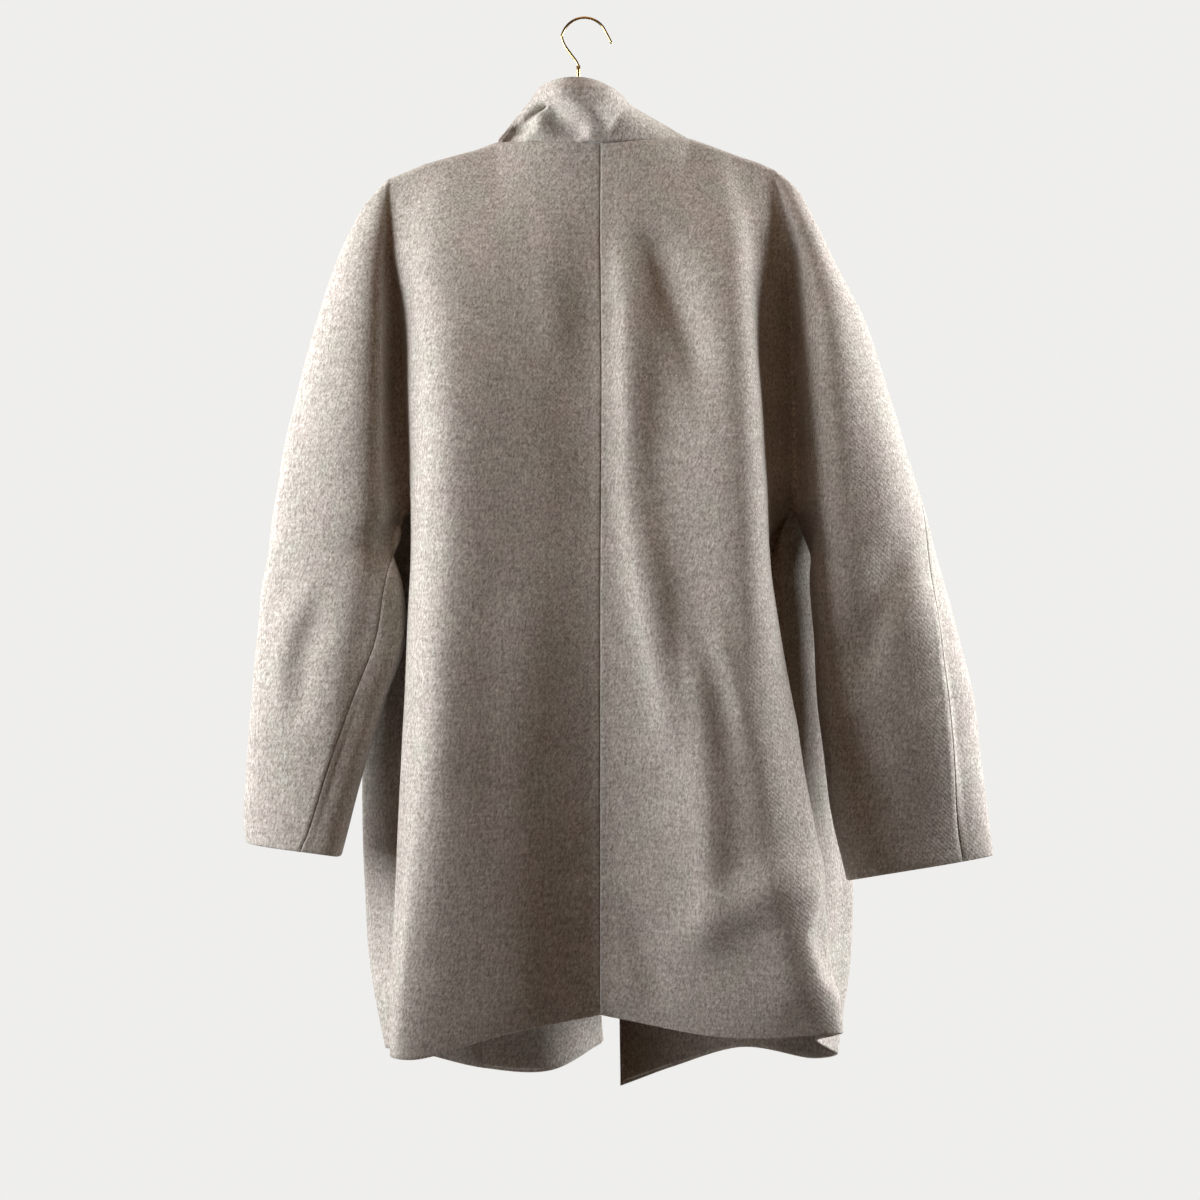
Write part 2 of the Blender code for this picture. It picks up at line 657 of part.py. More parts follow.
def wall(name, faces, points, normals, near, far):
    """A closed wall over the faces, from near to far under the surface that the points lie on."""
    moved, rim = seam_shift(faces, points, normals, SEAM_GAP)
    used = sorted({i for face in faces for i in face})
    place = {old: new for new, old in enumerate(used)}
    count = len(used)
    outer = moved[used] - normals[used] * near
    inner = moved[used] - normals[used] * far
    solid = [[place[i] for i in face] for face in faces]
    solid += [[place[i] + count for i in reversed(face)] for face in faces]
    for a, b in rim:
        top_a, top_b, low_a, low_b = place[a], place[b], place[a] + count, place[b] + count
        if a < b:
            solid += [[top_a, low_a, low_b], [top_a, low_b, top_b]]
        else:
            solid += [[top_a, low_a, top_b], [low_a, low_b, top_b]]
    return make_object(name, np.vstack([outer, inner]), solid, WOOL)


def make_object(name, points, faces, finish):
    mesh = bpy.data.meshes.new(name)
    mesh.from_pydata([tuple(p) for p in np.asarray(points) * METRE], [], faces)
    mesh.validate()
    mesh.shade_smooth()
    mesh.set_sharp_from_angle(angle=np.radians(50))
    mesh.materials.append(make_material(name, *finish))
    thing = bpy.data.objects.new(name, mesh)
    bpy.context.scene.collection.objects.link(thing)
    return thing


def build_facing(surface, grids, side):
    """The facing: a strip of the front panel's own points along its front edge, inside it and short of its hem."""
    strip = FRONT_SPANS[-1] + FRONT_SPANS[-2] + 1
    lower = Surface()
    lower.points = surface.points.copy()
    normals = surface.normals.copy()
    upper_rows = [row[-strip:] for row in grids["upper"][FACING_TOP_ROW:]]
    body_rows = [row[-strip:] for row in grids["body"]]
    lower.quads("facing", upper_rows, side == "left")
    lower.quads("facing", body_rows, side == "left")
    for hem, above in zip(body_rows[-1], body_rows[-2]):
        share = FACING_HEM_STEP / np.linalg.norm(surface.points[hem] - surface.points[above])
        lower.points[hem] = lerp(surface.points[hem], surface.points[above], share)
        normals[hem] = lerp(normals[hem], normals[above], share)
    near = CLOTH + FACING_GAP
    wall(f"facing_{side}", lower.panels["facing"], lower.points, normals, near, near + FACING_CLOTH)


def collar_path(grids):
    """The neckline from the left front edge round the back to the right front edge, as point numbers."""
    left, right = grids["left"]["upper"][0], grids["right"]["upper"][0]
    front = FRONT_EDGE - NECK
    path = [left[c] for c in range(FRONT_EDGE, front - 1, -1)]
    path += [left[c] for c in range(NECK - 1, 0, -1)]
    path += [right[c] for c in range(0, NECK)]
    path += [right[c] for c in range(front, FRONT_EDGE + 1)]
    return path


def collar_top(angle):
    """The collar's top edge at an angle: 270 is centre back, 360 the wearer's right and 180 the left side."""
    turn = np.radians(angle)
    across, depth = np.cos(turn), np.sin(turn)
    reach = COLLAR_TOP["back_depth"] if depth < 0 else COLLAR_TOP["front_depth"]
    level = COLLAR_TOP_Z["back"] if depth < 0 else COLLAR_TOP_Z["front"]
    side_z = COLLAR_TOP_Z["left"] + (COLLAR_TOP_Z["right"] - COLLAR_TOP_Z["left"]) * (1 + across) / 2
    z = side_z + (level - side_z) * abs(depth) ** 1.4
    return np.array((COLLAR_TOP["centre_x"] + COLLAR_TOP["half_width"] * across, reach * depth, z))


def collar_grid(base):
    """Rows of points of the collar, from the neckline up to its top edge."""
    last = len(base) - 1
    front = 90 - COLLAR_FRONT_OPENING
    turns = np.interp(np.arange(last + 1), (0, NECK, last - NECK, last), (180 - front, 180, 360, 360 + front))
    top = np.array([collar_top(t) for t in turns])
    rows = np.array([lerp(base, top, share) for share in COLLAR_ROWS])
    rows[1:, :, 1] -= fold_height("back", rows[1:], COLLAR_FOLDS) * (np.sin(np.radians(turns)) < -0.05)
    return rows


def add_collar(surface, grids):
    """Adds the collar on the neckline's own points."""
    path = collar_path(grids)
    base = np.array([surface.points[i] for i in path])
    rows = collar_grid(base)
    grid = [path]
    for r in range(1, len(rows)):
        grid.append([surface.point(("collar", r, c), rows[r, c]) for c in range(len(path))])
    surface.quads("collar", grid, True)


def build_coat():
    surface = Surface()
    grids = {side: add_half(surface, side) for side in SIDES}
    add_collar(surface, grids)
    surface.finish()
    for side in SIDES:
        surface.normals[grids[side]["crotch"]] = (0.0, 0.0, -CROTCH_MITRE)
    collar = surface.panels.pop("collar")
    wall("collar_outer", collar, surface.points, surface.normals, 0.0, CLOTH)
    near = CLOTH + SEAM_GAP
    wall("collar_inner", collar, surface.points, surface.normals, near, near + COLLAR_INSIDE_CLOTH)
    for panel, faces in surface.panels.items():
        wall(panel, faces, surface.points, surface.normals, 0.0, CLOTH)
    for side in SIDES:
        build_facing(surface, grids[side], side)


def tube(name, path, radii, sides, finish):
    """A closed tube with flat ends along a path in the plane of the hanger."""
    path = np.asarray(path, float)
    tangents = np.gradient(path, axis=0)
    tangents /= np.linalg.norm(tangents, axis=1)[:, None]
    across = np.array((0.0, 1.0, 0.0))
    points = []
    for centre, tangent, radius in zip(path, tangents, radii):
        up = np.cross(tangent, across)
        for k in range(sides):
            turn = 2 * np.pi * k / sides
            points.append(centre + radius * (np.cos(turn) * up + np.sin(turn) * across))
    faces = []
    for i in range(len(path) - 1):
        for k in range(sides):
            n = (k + 1) % sides
            a, b = i * sides, (i + 1) * sides
            faces.append([a + k, b + k, b + n, a + n])
    last = (len(path) - 1) * sides
    faces.append(list(range(sides)))
    faces.append([last + k for k in reversed(range(sides))])
    return make_object(name, points, faces, finish)


def build_hook():
    """The wire from its socket on the bar, through the swan neck and round the hook to the flared tip."""
    base = arm_top(STEM_X) + SEAM_GAP
    socket = [(STEM_X, z) for z in np.linspace(base, HOOK_SOCKET_TOP, 4)]
    angles = np.radians(np.linspace(HOOK_LEFT_ANGLE, HOOK_RIGHT_ANGLE, 12))
    arc = [(HOOK_CENTRE[0] + HOOK_RADIUS * np.cos(a), HOOK_CENTRE[1] + HOOK_RADIUS * np.sin(a)) for a in angles]
    stations = [(STEM_X, HOOK_SOCKET_TOP)] + list(reversed(HOOK_SWAN_NECK)) + arc + [HOOK_TIP]
    wire = curve_through(stations, (2,) * (len(stations) - 1))
    path = [(x, 0.0, z) for x, z in socket] + [(x, 0.0, z) for x, z in wire]
    path[len(socket)] = (STEM_X, 0.0, HOOK_SOCKET_TOP + 0.3)
    radii = [HOOK_SOCKET_RADIUS] * len(socket) + [HOOK_WIRE_RADIUS] * len(wire)
    return tube("hanger_hook", path, radii, 10, BRASS)


def arm_top(x):
    return float(np.interp(x, column(ARM_LINE, ARM_COLUMNS, "x"), column(ARM_LINE, ARM_COLUMNS, "top")))


def build_bar():
    """The hanger's bar: an oval section swept from tip to tip, rounded off at both ends."""
    xs = column(ARM_LINE, ARM_COLUMNS, "x")
    points, rings = [], []
    for i, x in enumerate(xs):
        ends = {0: 0.35, 1: 0.8}.get(min(i, len(xs) - 1 - i), 1.0)
        height = ARM_HEIGHT * ends
        middle = arm_top(x) - ARM_HEIGHT / 2
        for k in range(ARM_SIDES):
            turn = 2 * np.pi * (k + 0.5) / ARM_SIDES
            points.append((x, ARM_HALF_WIDTH * ends * np.sin(turn), middle + height / 2 * np.cos(turn)))
        rings.append(range(i * ARM_SIDES, (i + 1) * ARM_SIDES))
    faces = []
    for a, b in zip(rings, rings[1:]):
        for k in range(ARM_SIDES):
            n = (k + 1) % ARM_SIDES
            faces.append([a[k], b[k], b[n], a[n]])
    faces.append(list(rings[0]))
    faces.append(list(rings[-1])[::-1])
    return make_object("hanger_bar", points, faces, BAR_FINISH)


def main():
    clear_scene()
    build_coat()
    build_hook()
    build_bar()


main()
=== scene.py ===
"""Looks of a cocoon coat of thick melange wool, hanging back to front on a slim hanger with a wire hook.

The cut of the coat is laid out on a fine net, its folds are pressed in, and each panel is made as a thickness of
cloth with rounded edges. Lengths in the tables are in millimetres; the meshes are in metres.
"""

import json
import math

import bpy
import numpy as np
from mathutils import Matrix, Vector

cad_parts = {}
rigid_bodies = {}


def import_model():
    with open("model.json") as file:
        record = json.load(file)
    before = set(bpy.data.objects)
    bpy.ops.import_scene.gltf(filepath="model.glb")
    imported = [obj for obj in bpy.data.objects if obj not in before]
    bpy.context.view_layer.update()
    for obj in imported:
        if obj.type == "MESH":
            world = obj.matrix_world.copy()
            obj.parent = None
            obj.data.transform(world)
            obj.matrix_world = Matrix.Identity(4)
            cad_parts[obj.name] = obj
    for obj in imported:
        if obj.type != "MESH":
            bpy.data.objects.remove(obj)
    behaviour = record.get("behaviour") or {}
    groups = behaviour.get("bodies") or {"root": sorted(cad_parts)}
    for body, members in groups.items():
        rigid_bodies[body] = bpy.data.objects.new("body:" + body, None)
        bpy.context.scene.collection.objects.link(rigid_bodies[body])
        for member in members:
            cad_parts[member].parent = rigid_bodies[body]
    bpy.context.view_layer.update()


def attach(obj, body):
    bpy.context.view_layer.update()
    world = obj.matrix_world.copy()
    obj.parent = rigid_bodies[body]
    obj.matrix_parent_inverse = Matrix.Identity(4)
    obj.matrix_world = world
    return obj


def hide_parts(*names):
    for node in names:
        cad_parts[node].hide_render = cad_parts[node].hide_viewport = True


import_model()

METRE = 0.001
SIDES = {"left": -1, "right": 1}

# The cloth, and the gap that a seam leaves.
CLOTH = 3.0
COLLAR_INSIDE_CLOTH = 2.4
FACING_CLOTH = 2.5
FACING_GAP = 0.5
# It ends this far above the hem, but no further than this share of the way to the row above.
FACING_HEM_STEP = 4.0
FACING_HEM_SHARE = 0.9
SEAM_GAP = 0.3
# The cut edges at the centre back slant together by this much a millimetre of depth, so no light shows through.
SEAM_SLANT = 0.35

# The rounding of a cut edge: its size, the largest share of the way to the next point that it takes, the least
# number of times that it goes into the thickness, and its profile from a face to the edge, in and down.
EDGE_ROUNDING = 1.25
EDGE_REACH = 0.42
EDGE_PARTS = 2.2
EDGE_PROFILE = ((1.0, 0.0), (0.3, 0.3), (0.0, 1.0))

# The net: each coarse column and row of the cut is read this many times finer.
FINE = 5
FACING_TOP_ROW = 4 * FINE
# The evening out: its passes, the steps of one pass, and the rows under the shoulder seam where it starts and
# where it is full.
SMOOTHING_PASSES = 60
SMOOTHING_STEPS = (0.5, -0.53)
RIDGE_ROWS = (10, 26)
# Where the cloth bends sharply its normal grows, but by no more than this allows.
MITRE_LIMIT = 0.75

CENTRE_BACK_X = 17.0
BULGE_RADIUS_TOP = 13.0
BULGE_RADIUS_HEM = 18.0
# The turn into the front lies this many of those radii in from the side and forward of it.
TURN_IN = 1.3
TURN_FORWARD = 0.85
# Stations of the front, as shares of the way from that turn to the edge, and of a corner on the way to the valley.
FRONT_SHARES = {"front_1": 0.36, "front_2": 0.72}
VALLEY_SHARE = 0.4

# The shoulder: the roll over its seam, how it fades down the coat, how many coarse columns it needs beside the
# overarm seam, and how much of the slope below the cloth has there.
SHOULDER_RADIUS = 8.0
SHOULDER_FADE = 1.2
ROLL_COLUMNS = 1.5
SHOULDER_EASE = 0.6

# The underarm: its level in the tables, how far the cloth spreads from its point and along the columns beside it,
# and the length of the normal there.
UNDERARM_LEVEL = 5
UNDERARM_SPREAD = 0.8
UNDERARM_SHARES = (1.0, 0.55, 0.15)
UNDERARM_MITRE = 2.2

# Depth of the body's section at each level, from the back (-Y) to the front (+Y).
DEPTH_COLUMNS = ("z", "centre", "middle", "valley", "front_valley", "bulge", "front_1", "front_2", "edge")
DEPTHS = (
    (-240, -42, -45, -13, 18, 30, 42, 40, 36),
    (-300, -52, -56, -5, 17, 34, 47, 46, 42),
    (-380, -64, -68, -2, 15, 38, 53, 53, 48),
    (-440, -70, -75, -8, 10, 40, 58, 58, 53),
    (-474, -73, -78, -12, 4, 40, 59, 60, 55),
    (-495, -74, -79, -6, -6, 40, 60, 61, 56),
    (-560, -78, -84, -10, -10, 40, 62, 65, 60),
    (-650, -78, -88, -12, -12, 40, 64, 70, 66),
    (-750, -74, -90, -15, -15, 40, 64, 75, 72),
    (-850, -66, -90, -17, -17, 38, 62, 77, 78),
    (-950, -56, -87, -18, -18, 34, 60, 79, 84),
)

# Places across the body at the same levels: where the back turns the corner, with the corner's depth and how far
# it is rounded across and deep; the bottom of the valley beside the sleeve and then the side seam; the furthest
# reach of the front; and the front edge. The left corner is rounder than the right one.
WIDTH_COLUMNS = ("ridge", "ridge_depth", "round_across", "round_deep", "valley", "bulge", "edge")
WIDTHS = {
    "left": (
        (-175, -27, 30, 13, -192, -184, 0),
        (-166, -33, 31, 19, -186, -180, 1),
        (-163, -40, 32, 24, -184, -182, 2),
        (-162, -44, 33, 26, -180, -187, 3),
        (-162, -46, 33, 27, -176, -194, 3),
        (-162, -47, 33, 27, -172, -199, 4),
        (-164, -50, 33, 29, -158, -206, 5),
        (-169, -56, 32, 28, -154, -214, 7),
        (-174, -63, 30, 25, -158, -225, 9),
        (-179, -71, 28, 19, -163, -224, 11),
        (-182, -79, 26, 12, -167, -217, 14),
    ),
    "right": (
        (167, -37, 17, 9, 204, 186, 33),
        (165, -52, 17, 9, 208, 188, 33),
        (169, -64, 18, 10, 211, 200, 33),
        (174, -70, 18, 10, 212, 216, 34),
        (177, -73, 19, 10, 211, 229, 34),
        (178, -74, 19, 11, 208, 237, 34),
        (184, -76, 20, 13, 195, 241, 34),
        (197, -79, 21, 14, 204, 249, 35),
        (212, -82, 22, 14, 216, 264, 35),
        (227, -83, 23, 14, 226, 275, 36),
        (240, -84, 24, 12, 232, 271, 36),
    ),
}
HEM_ROUND_ACROSS = 24.0
HEM_ROUND_DEEP = 8.0

# The hem at each station of the body's section: x, y and z.
HEM = {
    "left": {
        "centre": (17, -48, -987),
        "middle": (-80, -80, -999),
        "ridge": (-182, -85, -1017),
        "valley": (-168, -22, -1024),
        "bulge": (-198, 2, -1030),
        "turn": (-176, 20, -1037),
        "front_1": (-104, 74, -1068),
        "front_2": (-35, 84, -1073),
        "edge": (18, 118, -1052),
    },
    "right": {
        "centre": (17, -48, -987),
        "middle": (132, -80, -999),
        "ridge": (248, -85, -994),
        "valley": (232, -25, -1016),
        "bulge": (258, 24, -1042),
        "turn": (236, 50, -1052),
        "front_1": (166, 92, -1050),
        "front_2": (93, 80, -1068),
        "edge": (37, 22, -1073),
    },
}

# The sleeve's oval section: its middle depth, how deep it is from there to its back and to its front, its two
# edges, and how far the cloth has turned round it, in degrees, towards the back at the left underarm seam and the
# right overarm seam.
SLEEVE_COLUMNS = ("z", "middle", "back_depth", "front_depth", "inner", "outer", "twist")
SLEEVES = {
    "left": (
        (-240, -6, 24, 28, -196, -243, 0),
        (-300, -10, 31, 38, -195, -262, 0),
        (-380, -14, 33, 47, -196, -284, 6),
        (-440, -17, 33, 52, -194, -297, 18),
        (-474, -18, 33, 54, -192, -303, 32),
        (-495, -19, 33, 55, -189, -306, 44),
        (-560, -22, 32, 57, -180, -315, 63),
        (-620, -24, 32, 58, -175, -321, 79),
        (-680, -26, 32, 57, -194, -326, 85),
        (-750, -29, 32, 55, -216, -330, 91),
        (-800, -31, 32, 55, -229, -333, 96),
    ),
    "right": (
        (-240, -6, 28, 28, 210, 247, 0),
        (-300, -10, 40, 38, 213, 278, 0),
        (-380, -14, 50, 46, 216, 304, -3),
        (-440, -17, 54, 50, 219, 322, -8),
        (-474, -18, 56, 51, 220, 332, -15),
        (-495, -19, 57, 52, 221, 338, -21),
        (-560, -22, 58, 54, 225, 355, -38),
        (-620, -24, 57, 54, 228, 371, -48),
        (-680, -26, 52, 50, 231, 385, -51),
        (-750, -29, 43, 42, 239, 393, -51),
        (-800, -31, 33, 32, 246, 399, -51),
    ),
}
CUFF_COLUMNS = ("middle", "back_depth", "front_depth", "inner", "outer", "inner_z", "outer_z", "twist")
CUFFS = {
    "left": (-33, 32, 55, -237, -330, -832, -819, 101),
    "right": (-33, 24, 24, 259, 404, -856, -831, -51),
}

# How far the crest of the sleeve's back leans towards the body: 1 is in the middle.
SLEEVE_LEAN = {"left": 1.9, "right": 1.3}

# Angles of the sleeve's stations, from the overarm seam at 0 to the underarm seam at 180.
SLEEVE_ANGLES = (155, 130, 108, 88, 66, 44, 22)

# The shoulder seam from the neck to the hanger's tip, and the places on it of the section's stations.
SHOULDER_LINE = {
    "left": ((-86, -123), (-106, -131), (-158, -146), (-195, -161), (-203, -169), (-216, -185), (-224, -199)),
    "right": ((107, -121), (135, -130), (176, -144), (191, -151), (204, -161), (214, -172), (225, -190)),
}
SHOULDER_STATIONS = {
    "left": {"neck": -86, "before_ridge": -130, "ridge": -158, "after_ridge": -174, "valley": -186, "tip": -224},
    "right": {"neck": 107, "before_ridge": 134, "ridge": 155, "after_ridge": 168, "valley": 181, "tip": 225},
}

# The neckline's lowest points, and how it curves forward and down from the shoulder seam in front.
NECK_BACK = (17, -26, -131)
NECK_FRONT = {"left": (-2, 31, -200), "right": (34, 31, -200)}
NECK_FORWARD_POWER = 0.8
NECK_DOWN_POWER = 1.3

BACK_STATIONS = ("centre", "middle", "before_ridge", "ridge", "after_ridge", "valley")
FRONT_STATIONS = ("front_valley", "before_bulge", "bulge", "turn", "front_1", "front_2", "edge")
SEAM_STATIONS = ("neck", "before_ridge", "ridge", "after_ridge", "valley", "tip")

# How many columns each stretch of the section gets, from centre back to the underarm and round to the front edge.
BACK_SPANS = tuple(n * FINE for n in (5, 3, 2, 2, 2))
FRONT_SPANS = tuple(n * FINE for n in (2, 2, 2, 2, 3, 3))

# Numbers of the columns on the seams and edges.
BACK_COLUMNS = sum(BACK_SPANS)
SLEEVE_HALF = (len(SLEEVE_ANGLES) + 1) * FINE
OVERARM = BACK_COLUMNS + SLEEVE_HALF
FRONT_VALLEY = BACK_COLUMNS + 2 * SLEEVE_HALF
FRONT_EDGE = FRONT_VALLEY + sum(FRONT_SPANS)
NECK = BACK_SPANS[0]
# The column at which the back meets the front, in each part of a half of the coat.
SEAM_COLUMNS = {"upper": OVERARM, "body": BACK_COLUMNS, "sleeve": SLEEVE_HALF}

# Rows: shares of the way from the shoulder seam to the first level, then rows between the levels.
SHOULDER_STEPS = (0.0, 0.03, 0.1, 0.22, 0.42, 0.7, 1.0)
SHOULDER_ROWS = tuple(np.interp(np.linspace(0, 6, 6 * FINE + 1), np.arange(7), SHOULDER_STEPS))
UPPER_ROWS = tuple(n * FINE for n in (2, 2, 2, 1, 1))
BODY_ROWS = tuple(n * FINE for n in (2, 2, 3, 3, 3, 3))
SLEEVE_ROWS = tuple(n * FINE for n in (2, 2, 2, 2, 1, 1))

# Soft folds that the hanging cloth has: from and to a place on the back or front, half width and height.
FOLD_COLUMNS = ("face", "from_x", "from_z", "to_x", "to_z", "half_width", "height")
FOLDS = (
    ("back", 42, -235, 46, -500, 20, 6),
    ("back", 46, -480, 88, -720, 20, 7),
    ("back", 62, -215, 116, -380, 24, -5),
    ("back", 98, -640, 118, -890, 22, 5),
    ("back", 86, -915, 215, -832, 20, 5),
    ("back", -70, -320, -95, -980, 40, -4),
    ("front", -90, -300, -110, -960, 40, 6),
    ("front", 110, -320, 130, -960, 40, 7),
    ("front", -45, -420, -60, -960, 32, -4),
)

# Creases pressed in after the soft folds: half widths to the left and right of the crest as seen from behind, the
# height, and the places (x, z) that the crest passes.
CREASE_COLUMNS = ("face", "left_width", "right_width", "height", "path")
CREASES = (
    ("back", 105, 85, -12, ((17, -215), (17, -980))),
    ("back", 95, 26, 14, ((138, -215), (144, -350), (152, -600), (168, -800), (186, -940))),
    ("back", 15, 14, -7, ((176, -225), (182, -350), (190, -520), (200, -680))),
    ("back", 30, 75, 10, ((-146, -215), (-138, -450), (-136, -680), (-146, -800))),
    ("back", 11, 60, 9, ((-150, -760), (-158, -860), (-166, -940), (-172, -1030))),
    ("back", 34, 10, 9, ((226, -815), (218, -860), (208, -900), (222, -942), (246, -972))),
    ("back", 14, 12, -4, ((-196, -235), (-188, -330), (-180, -450), (-178, -560))),
    ("back", 13, 32, 8,
        ((38, -215), (43, -300), (44, -400), (43, -470), (50, -530), (63, -600), (78, -670), (86, -725))),
    ("back", 12, 18, -4, ((56, -205), (74, -250), (104, -330), (118, -400))),
    ("back", 12, 18, 5, ((98, -600), (112, -680), (118, -760), (122, -850), (116, -905))),
    ("back", 10, 14, 4, ((124, -600), (146, -660), (158, -725))),
    ("back", 20, 20, 2.5, ((84, -918), (120, -885), (165, -855), (208, -826))),
    ("back", 14, 18, -4, ((40, -880), (62, -930), (70, -975))),
    ("back", 16, 20, 3, ((-30, -200), (-36, -260), (-24, -340))),
    ("back", 26, 26, -3, ((-96, -560), (-104, -700), (-92, -860))),
    ("back", 20, 34, 3, ((-120, -640), (-128, -760), (-118, -900))),
    ("back", 55, 16, 5,
        ((-190, -235), (-206, -340), (-212, -450), (-222, -560), (-236, -640), (-250, -740), (-262, -810))),
    ("back", 18, 22, 5, ((230, -220), (238, -300), (242, -400), (240, -480), (244, -560))),
    ("back", 26, 16, -7, ((312, -520), (292, -570), (276, -610), (266, -660))),
    ("back", 40, 16, 8, ((322, -560), (340, -620), (352, -700), (362, -780))),
    ("back", 20, 24, -5, ((262, -680), (276, -740), (300, -800))),
    ("back", 14, 14, 3, ((-262, -560), (-286, -610), (-296, -680))),
    ("back", 12, 14, -3, ((-252, -580), (-272, -640), (-276, -700))),
    ("front", 16, 26, 4, ((-60, -260), (-74, -420), (-70, -600))),
    ("front", 20, 20, -4, ((-130, -480), (-140, -700), (-128, -900))),
    ("front", 18, 24, 4, ((76, -280), (92, -460), (88, -660), (104, -860))),
    ("front", 14, 22, -4, ((150, -420), (170, -620), (178, -860))),
    ("front", 14, 18, 4, ((-240, -420), (-262, -520), (-270, -640))),
    ("front", 14, 18, 4, ((270, -420), (296, -520), (318, -660))),
    ("collar", 6, 1.8, -17, ((-69, -112.5), (-57, -103.5), (-46, -97.5), (-36, -92.5))),
    ("collar", 2.2, 14, 7, ((-74, -119), (-67, -114.5), (-57, -107.5), (-46, -101), (-33, -95.5))),
    ("collar", 9, 50, 7, ((-40, -70), (-16.5, -86), (4.5, -98), (28, -115))),
    ("collar", 9, 6, -5, ((-40, -95), (-28, -103), (-16, -113), (6, -126))),
)

# How sharply a crease's width changes over its crest, how soon it rises along its length, and the share of its
# height that it keeps at its ends on the body.
CREASE_TURN = 0.9
CREASE_RISE = 5
CREASE_ENDS = 0.25
# The cloth's unevenness: the seed of its waves, their lengths, how many of each, and the height.
UNEVEN_SEED = 7
UNEVEN_LENGTHS = (60, 95, 150)
UNEVEN_WAVES = 4
UNEVEN_HEIGHT = 0.9

# The standing collar's top edge, as an oval in plan whose height changes round it.
COLLAR_TOP = {"centre_x": -6.5, "half_width": 40.5, "back_depth": 44, "front_depth": 40}
COLLAR_TOP_Z = {"back": -70, "left": -74, "right": -79, "front": -138}
COLLAR_TOP_POWER = 1.4
COLLAR_FRONT_OPENING = 12.0
# Its folds lie where the sine of the angle round it is under this.
COLLAR_FOLDS_BELOW = -0.05
COLLAR_ROWS = tuple(np.linspace(0, 1, 45))

# Folds of the collapsed collar at the back: from and to, half width and height as above.
COLLAR_FOLDS = (
    ("back", -84, -126, -34, -96, 8, -8),
    ("back", -36, -78, 26, -120, 14, 5),
    ("back", -38, -104, 0, -126, 12, -4),
)

# How much of the evening out the collar takes, which keeps its folds crisp, and its own passes after it is made
# again with this many times finer columns.
COLLAR_LOOSENESS = 0.25
COLLAR_FINER = 3
COLLAR_PASSES = 3
# The collar's creases grow over these rows from the neck seam and from the top edge, and over this depth from the
# shoulder line to the back.
COLLAR_SEAM_ROWS = 4
COLLAR_EDGE_ROWS = 7
COLLAR_BACK_START = -6.0
COLLAR_BACK_REACH = 12.0

# The hanger: a slim bar that follows the shoulder seams, and a wire hook in a socket.
STEM_X = -4.6
HOOK_WIRE_RADIUS = 1.25
HOOK_SOCKET_RADIUS = 1.9
HOOK_CENTRE = (1.5, -21.7)
HOOK_RADIUS = 23.0
HOOK_LEFT_ANGLE = 170.0
HOOK_RIGHT_ANGLE = 22.0
HOOK_TIP = (28.5, -24.0)
HOOK_SWAN_NECK = ((-18.6, -25.5), (-12.5, -34.5), (-6.6, -42.5))
HOOK_SOCKET_TOP = -47.0
HOOK_SOCKET_LIFT = 0.6
# The socket's shoulder: steps up from its top, and the radius at each.
HOOK_SHOULDER = ((0.25, 0.9 * HOOK_SOCKET_RADIUS), (0.35, HOOK_WIRE_RADIUS))
HOOK_STEPS = 12
HOOK_SPAN_STEPS = 8
HOOK_SIDES = 20
# The wire's ends, in radii: how far they stand out and how wide they are there.
WIRE_START_DOME = 0.3
WIRE_END_DOME = 0.45
WIRE_END_WIDTH = 0.6
ARM_HALF_WIDTH = 2.5
ARM_HEIGHT = 9.0
ARM_SIDES = 24
ARM_STATIONS = 90
ARM_PASSES = 3
# The bar's rounded ends: their length, and the share of the section at the very end.
ARM_END_LENGTH = 3.0
ARM_END_SHARE = 0.3
# The top of the bar from tip to tip, under the shoulder seams: x and z.
ARM_LINE = (
    (-187, -164.5), (-185, -163.3), (-158, -152), (-106, -140), (-86, -138), (-74, -134), (-60, -127),
    (-30, -110.5), (-12, -103), (-4.6, -101.5), (3, -103), (25, -108.5), (60, -120), (92, -133),
    (107, -136.5), (135, -140), (176, -150), (179, -151.3), (181, -152.5),
)

# The wool's fibres, as the shaders take them, and how far slow drifts turn its tone to rose and to green.
FIBRE_DARK = (0.27, 0.235, 0.205)
FIBRE_MIDDLE = (0.46, 0.43, 0.40)
FIBRE_PALE = (0.68, 0.66, 0.63)
DRIFT_ROSE = (1.02, 0.985, 0.98)
DRIFT_GREEN = (0.985, 1.005, 0.975)
DRIFT_SCALE = 31.0
DRIFT_NOISE = (0.35, 0.65)
TONE_SCALE = 17.0
TONE_NOISE = (0.3, 0.7)
TONE_RANGE = (0.95, 1.05)
# Flecks lean by this turn and are this much longer than wide; finer fibres run among them.
FLECK_LEAN = 0.32
FLECK_LENGTH = 2.3
FLECK_SCALE = 560.0
FLECK_ROUGHNESS = 0.6
FLECK_SHARE = 0.6
FINE_FIBRE_SCALE = 1250.0
FINE_FIBRE_SHARE = 0.4
# Where the mixed fleck value passes from dark to middle and from middle to pale.
DARK_TO_MIDDLE = (0.36, 0.5)
MIDDLE_TO_PALE = (0.5, 0.66)
# Streaks are drawn out across and along the cloth.
STREAK_ACROSS = (55.0, 55.0, 480.0)
STREAK_ALONG = (480.0, 480.0, 42.0)
# The nap's fibres and lumps, and the faint twill under it.
NAP_SCALE = 760.0
NAP_DETAIL = 4.0
NAP_ROUGHNESS = 0.7
LUMP_SCALE = 150.0
TWILL_TURN = 0.85
TWILL_SCALE = 95.0
TWILL_WAVER = 2.2
WOOL_BUMP = {"Distance": 0.0004, "Strength": 0.6}
WOOL_SURFACE = {
    "Roughness": 0.95,
    "Specular IOR Level": 0.15,
    "Sheen Roughness": 0.45,
    "Sheen Tint": (0.95, 0.94, 0.92, 1),
}
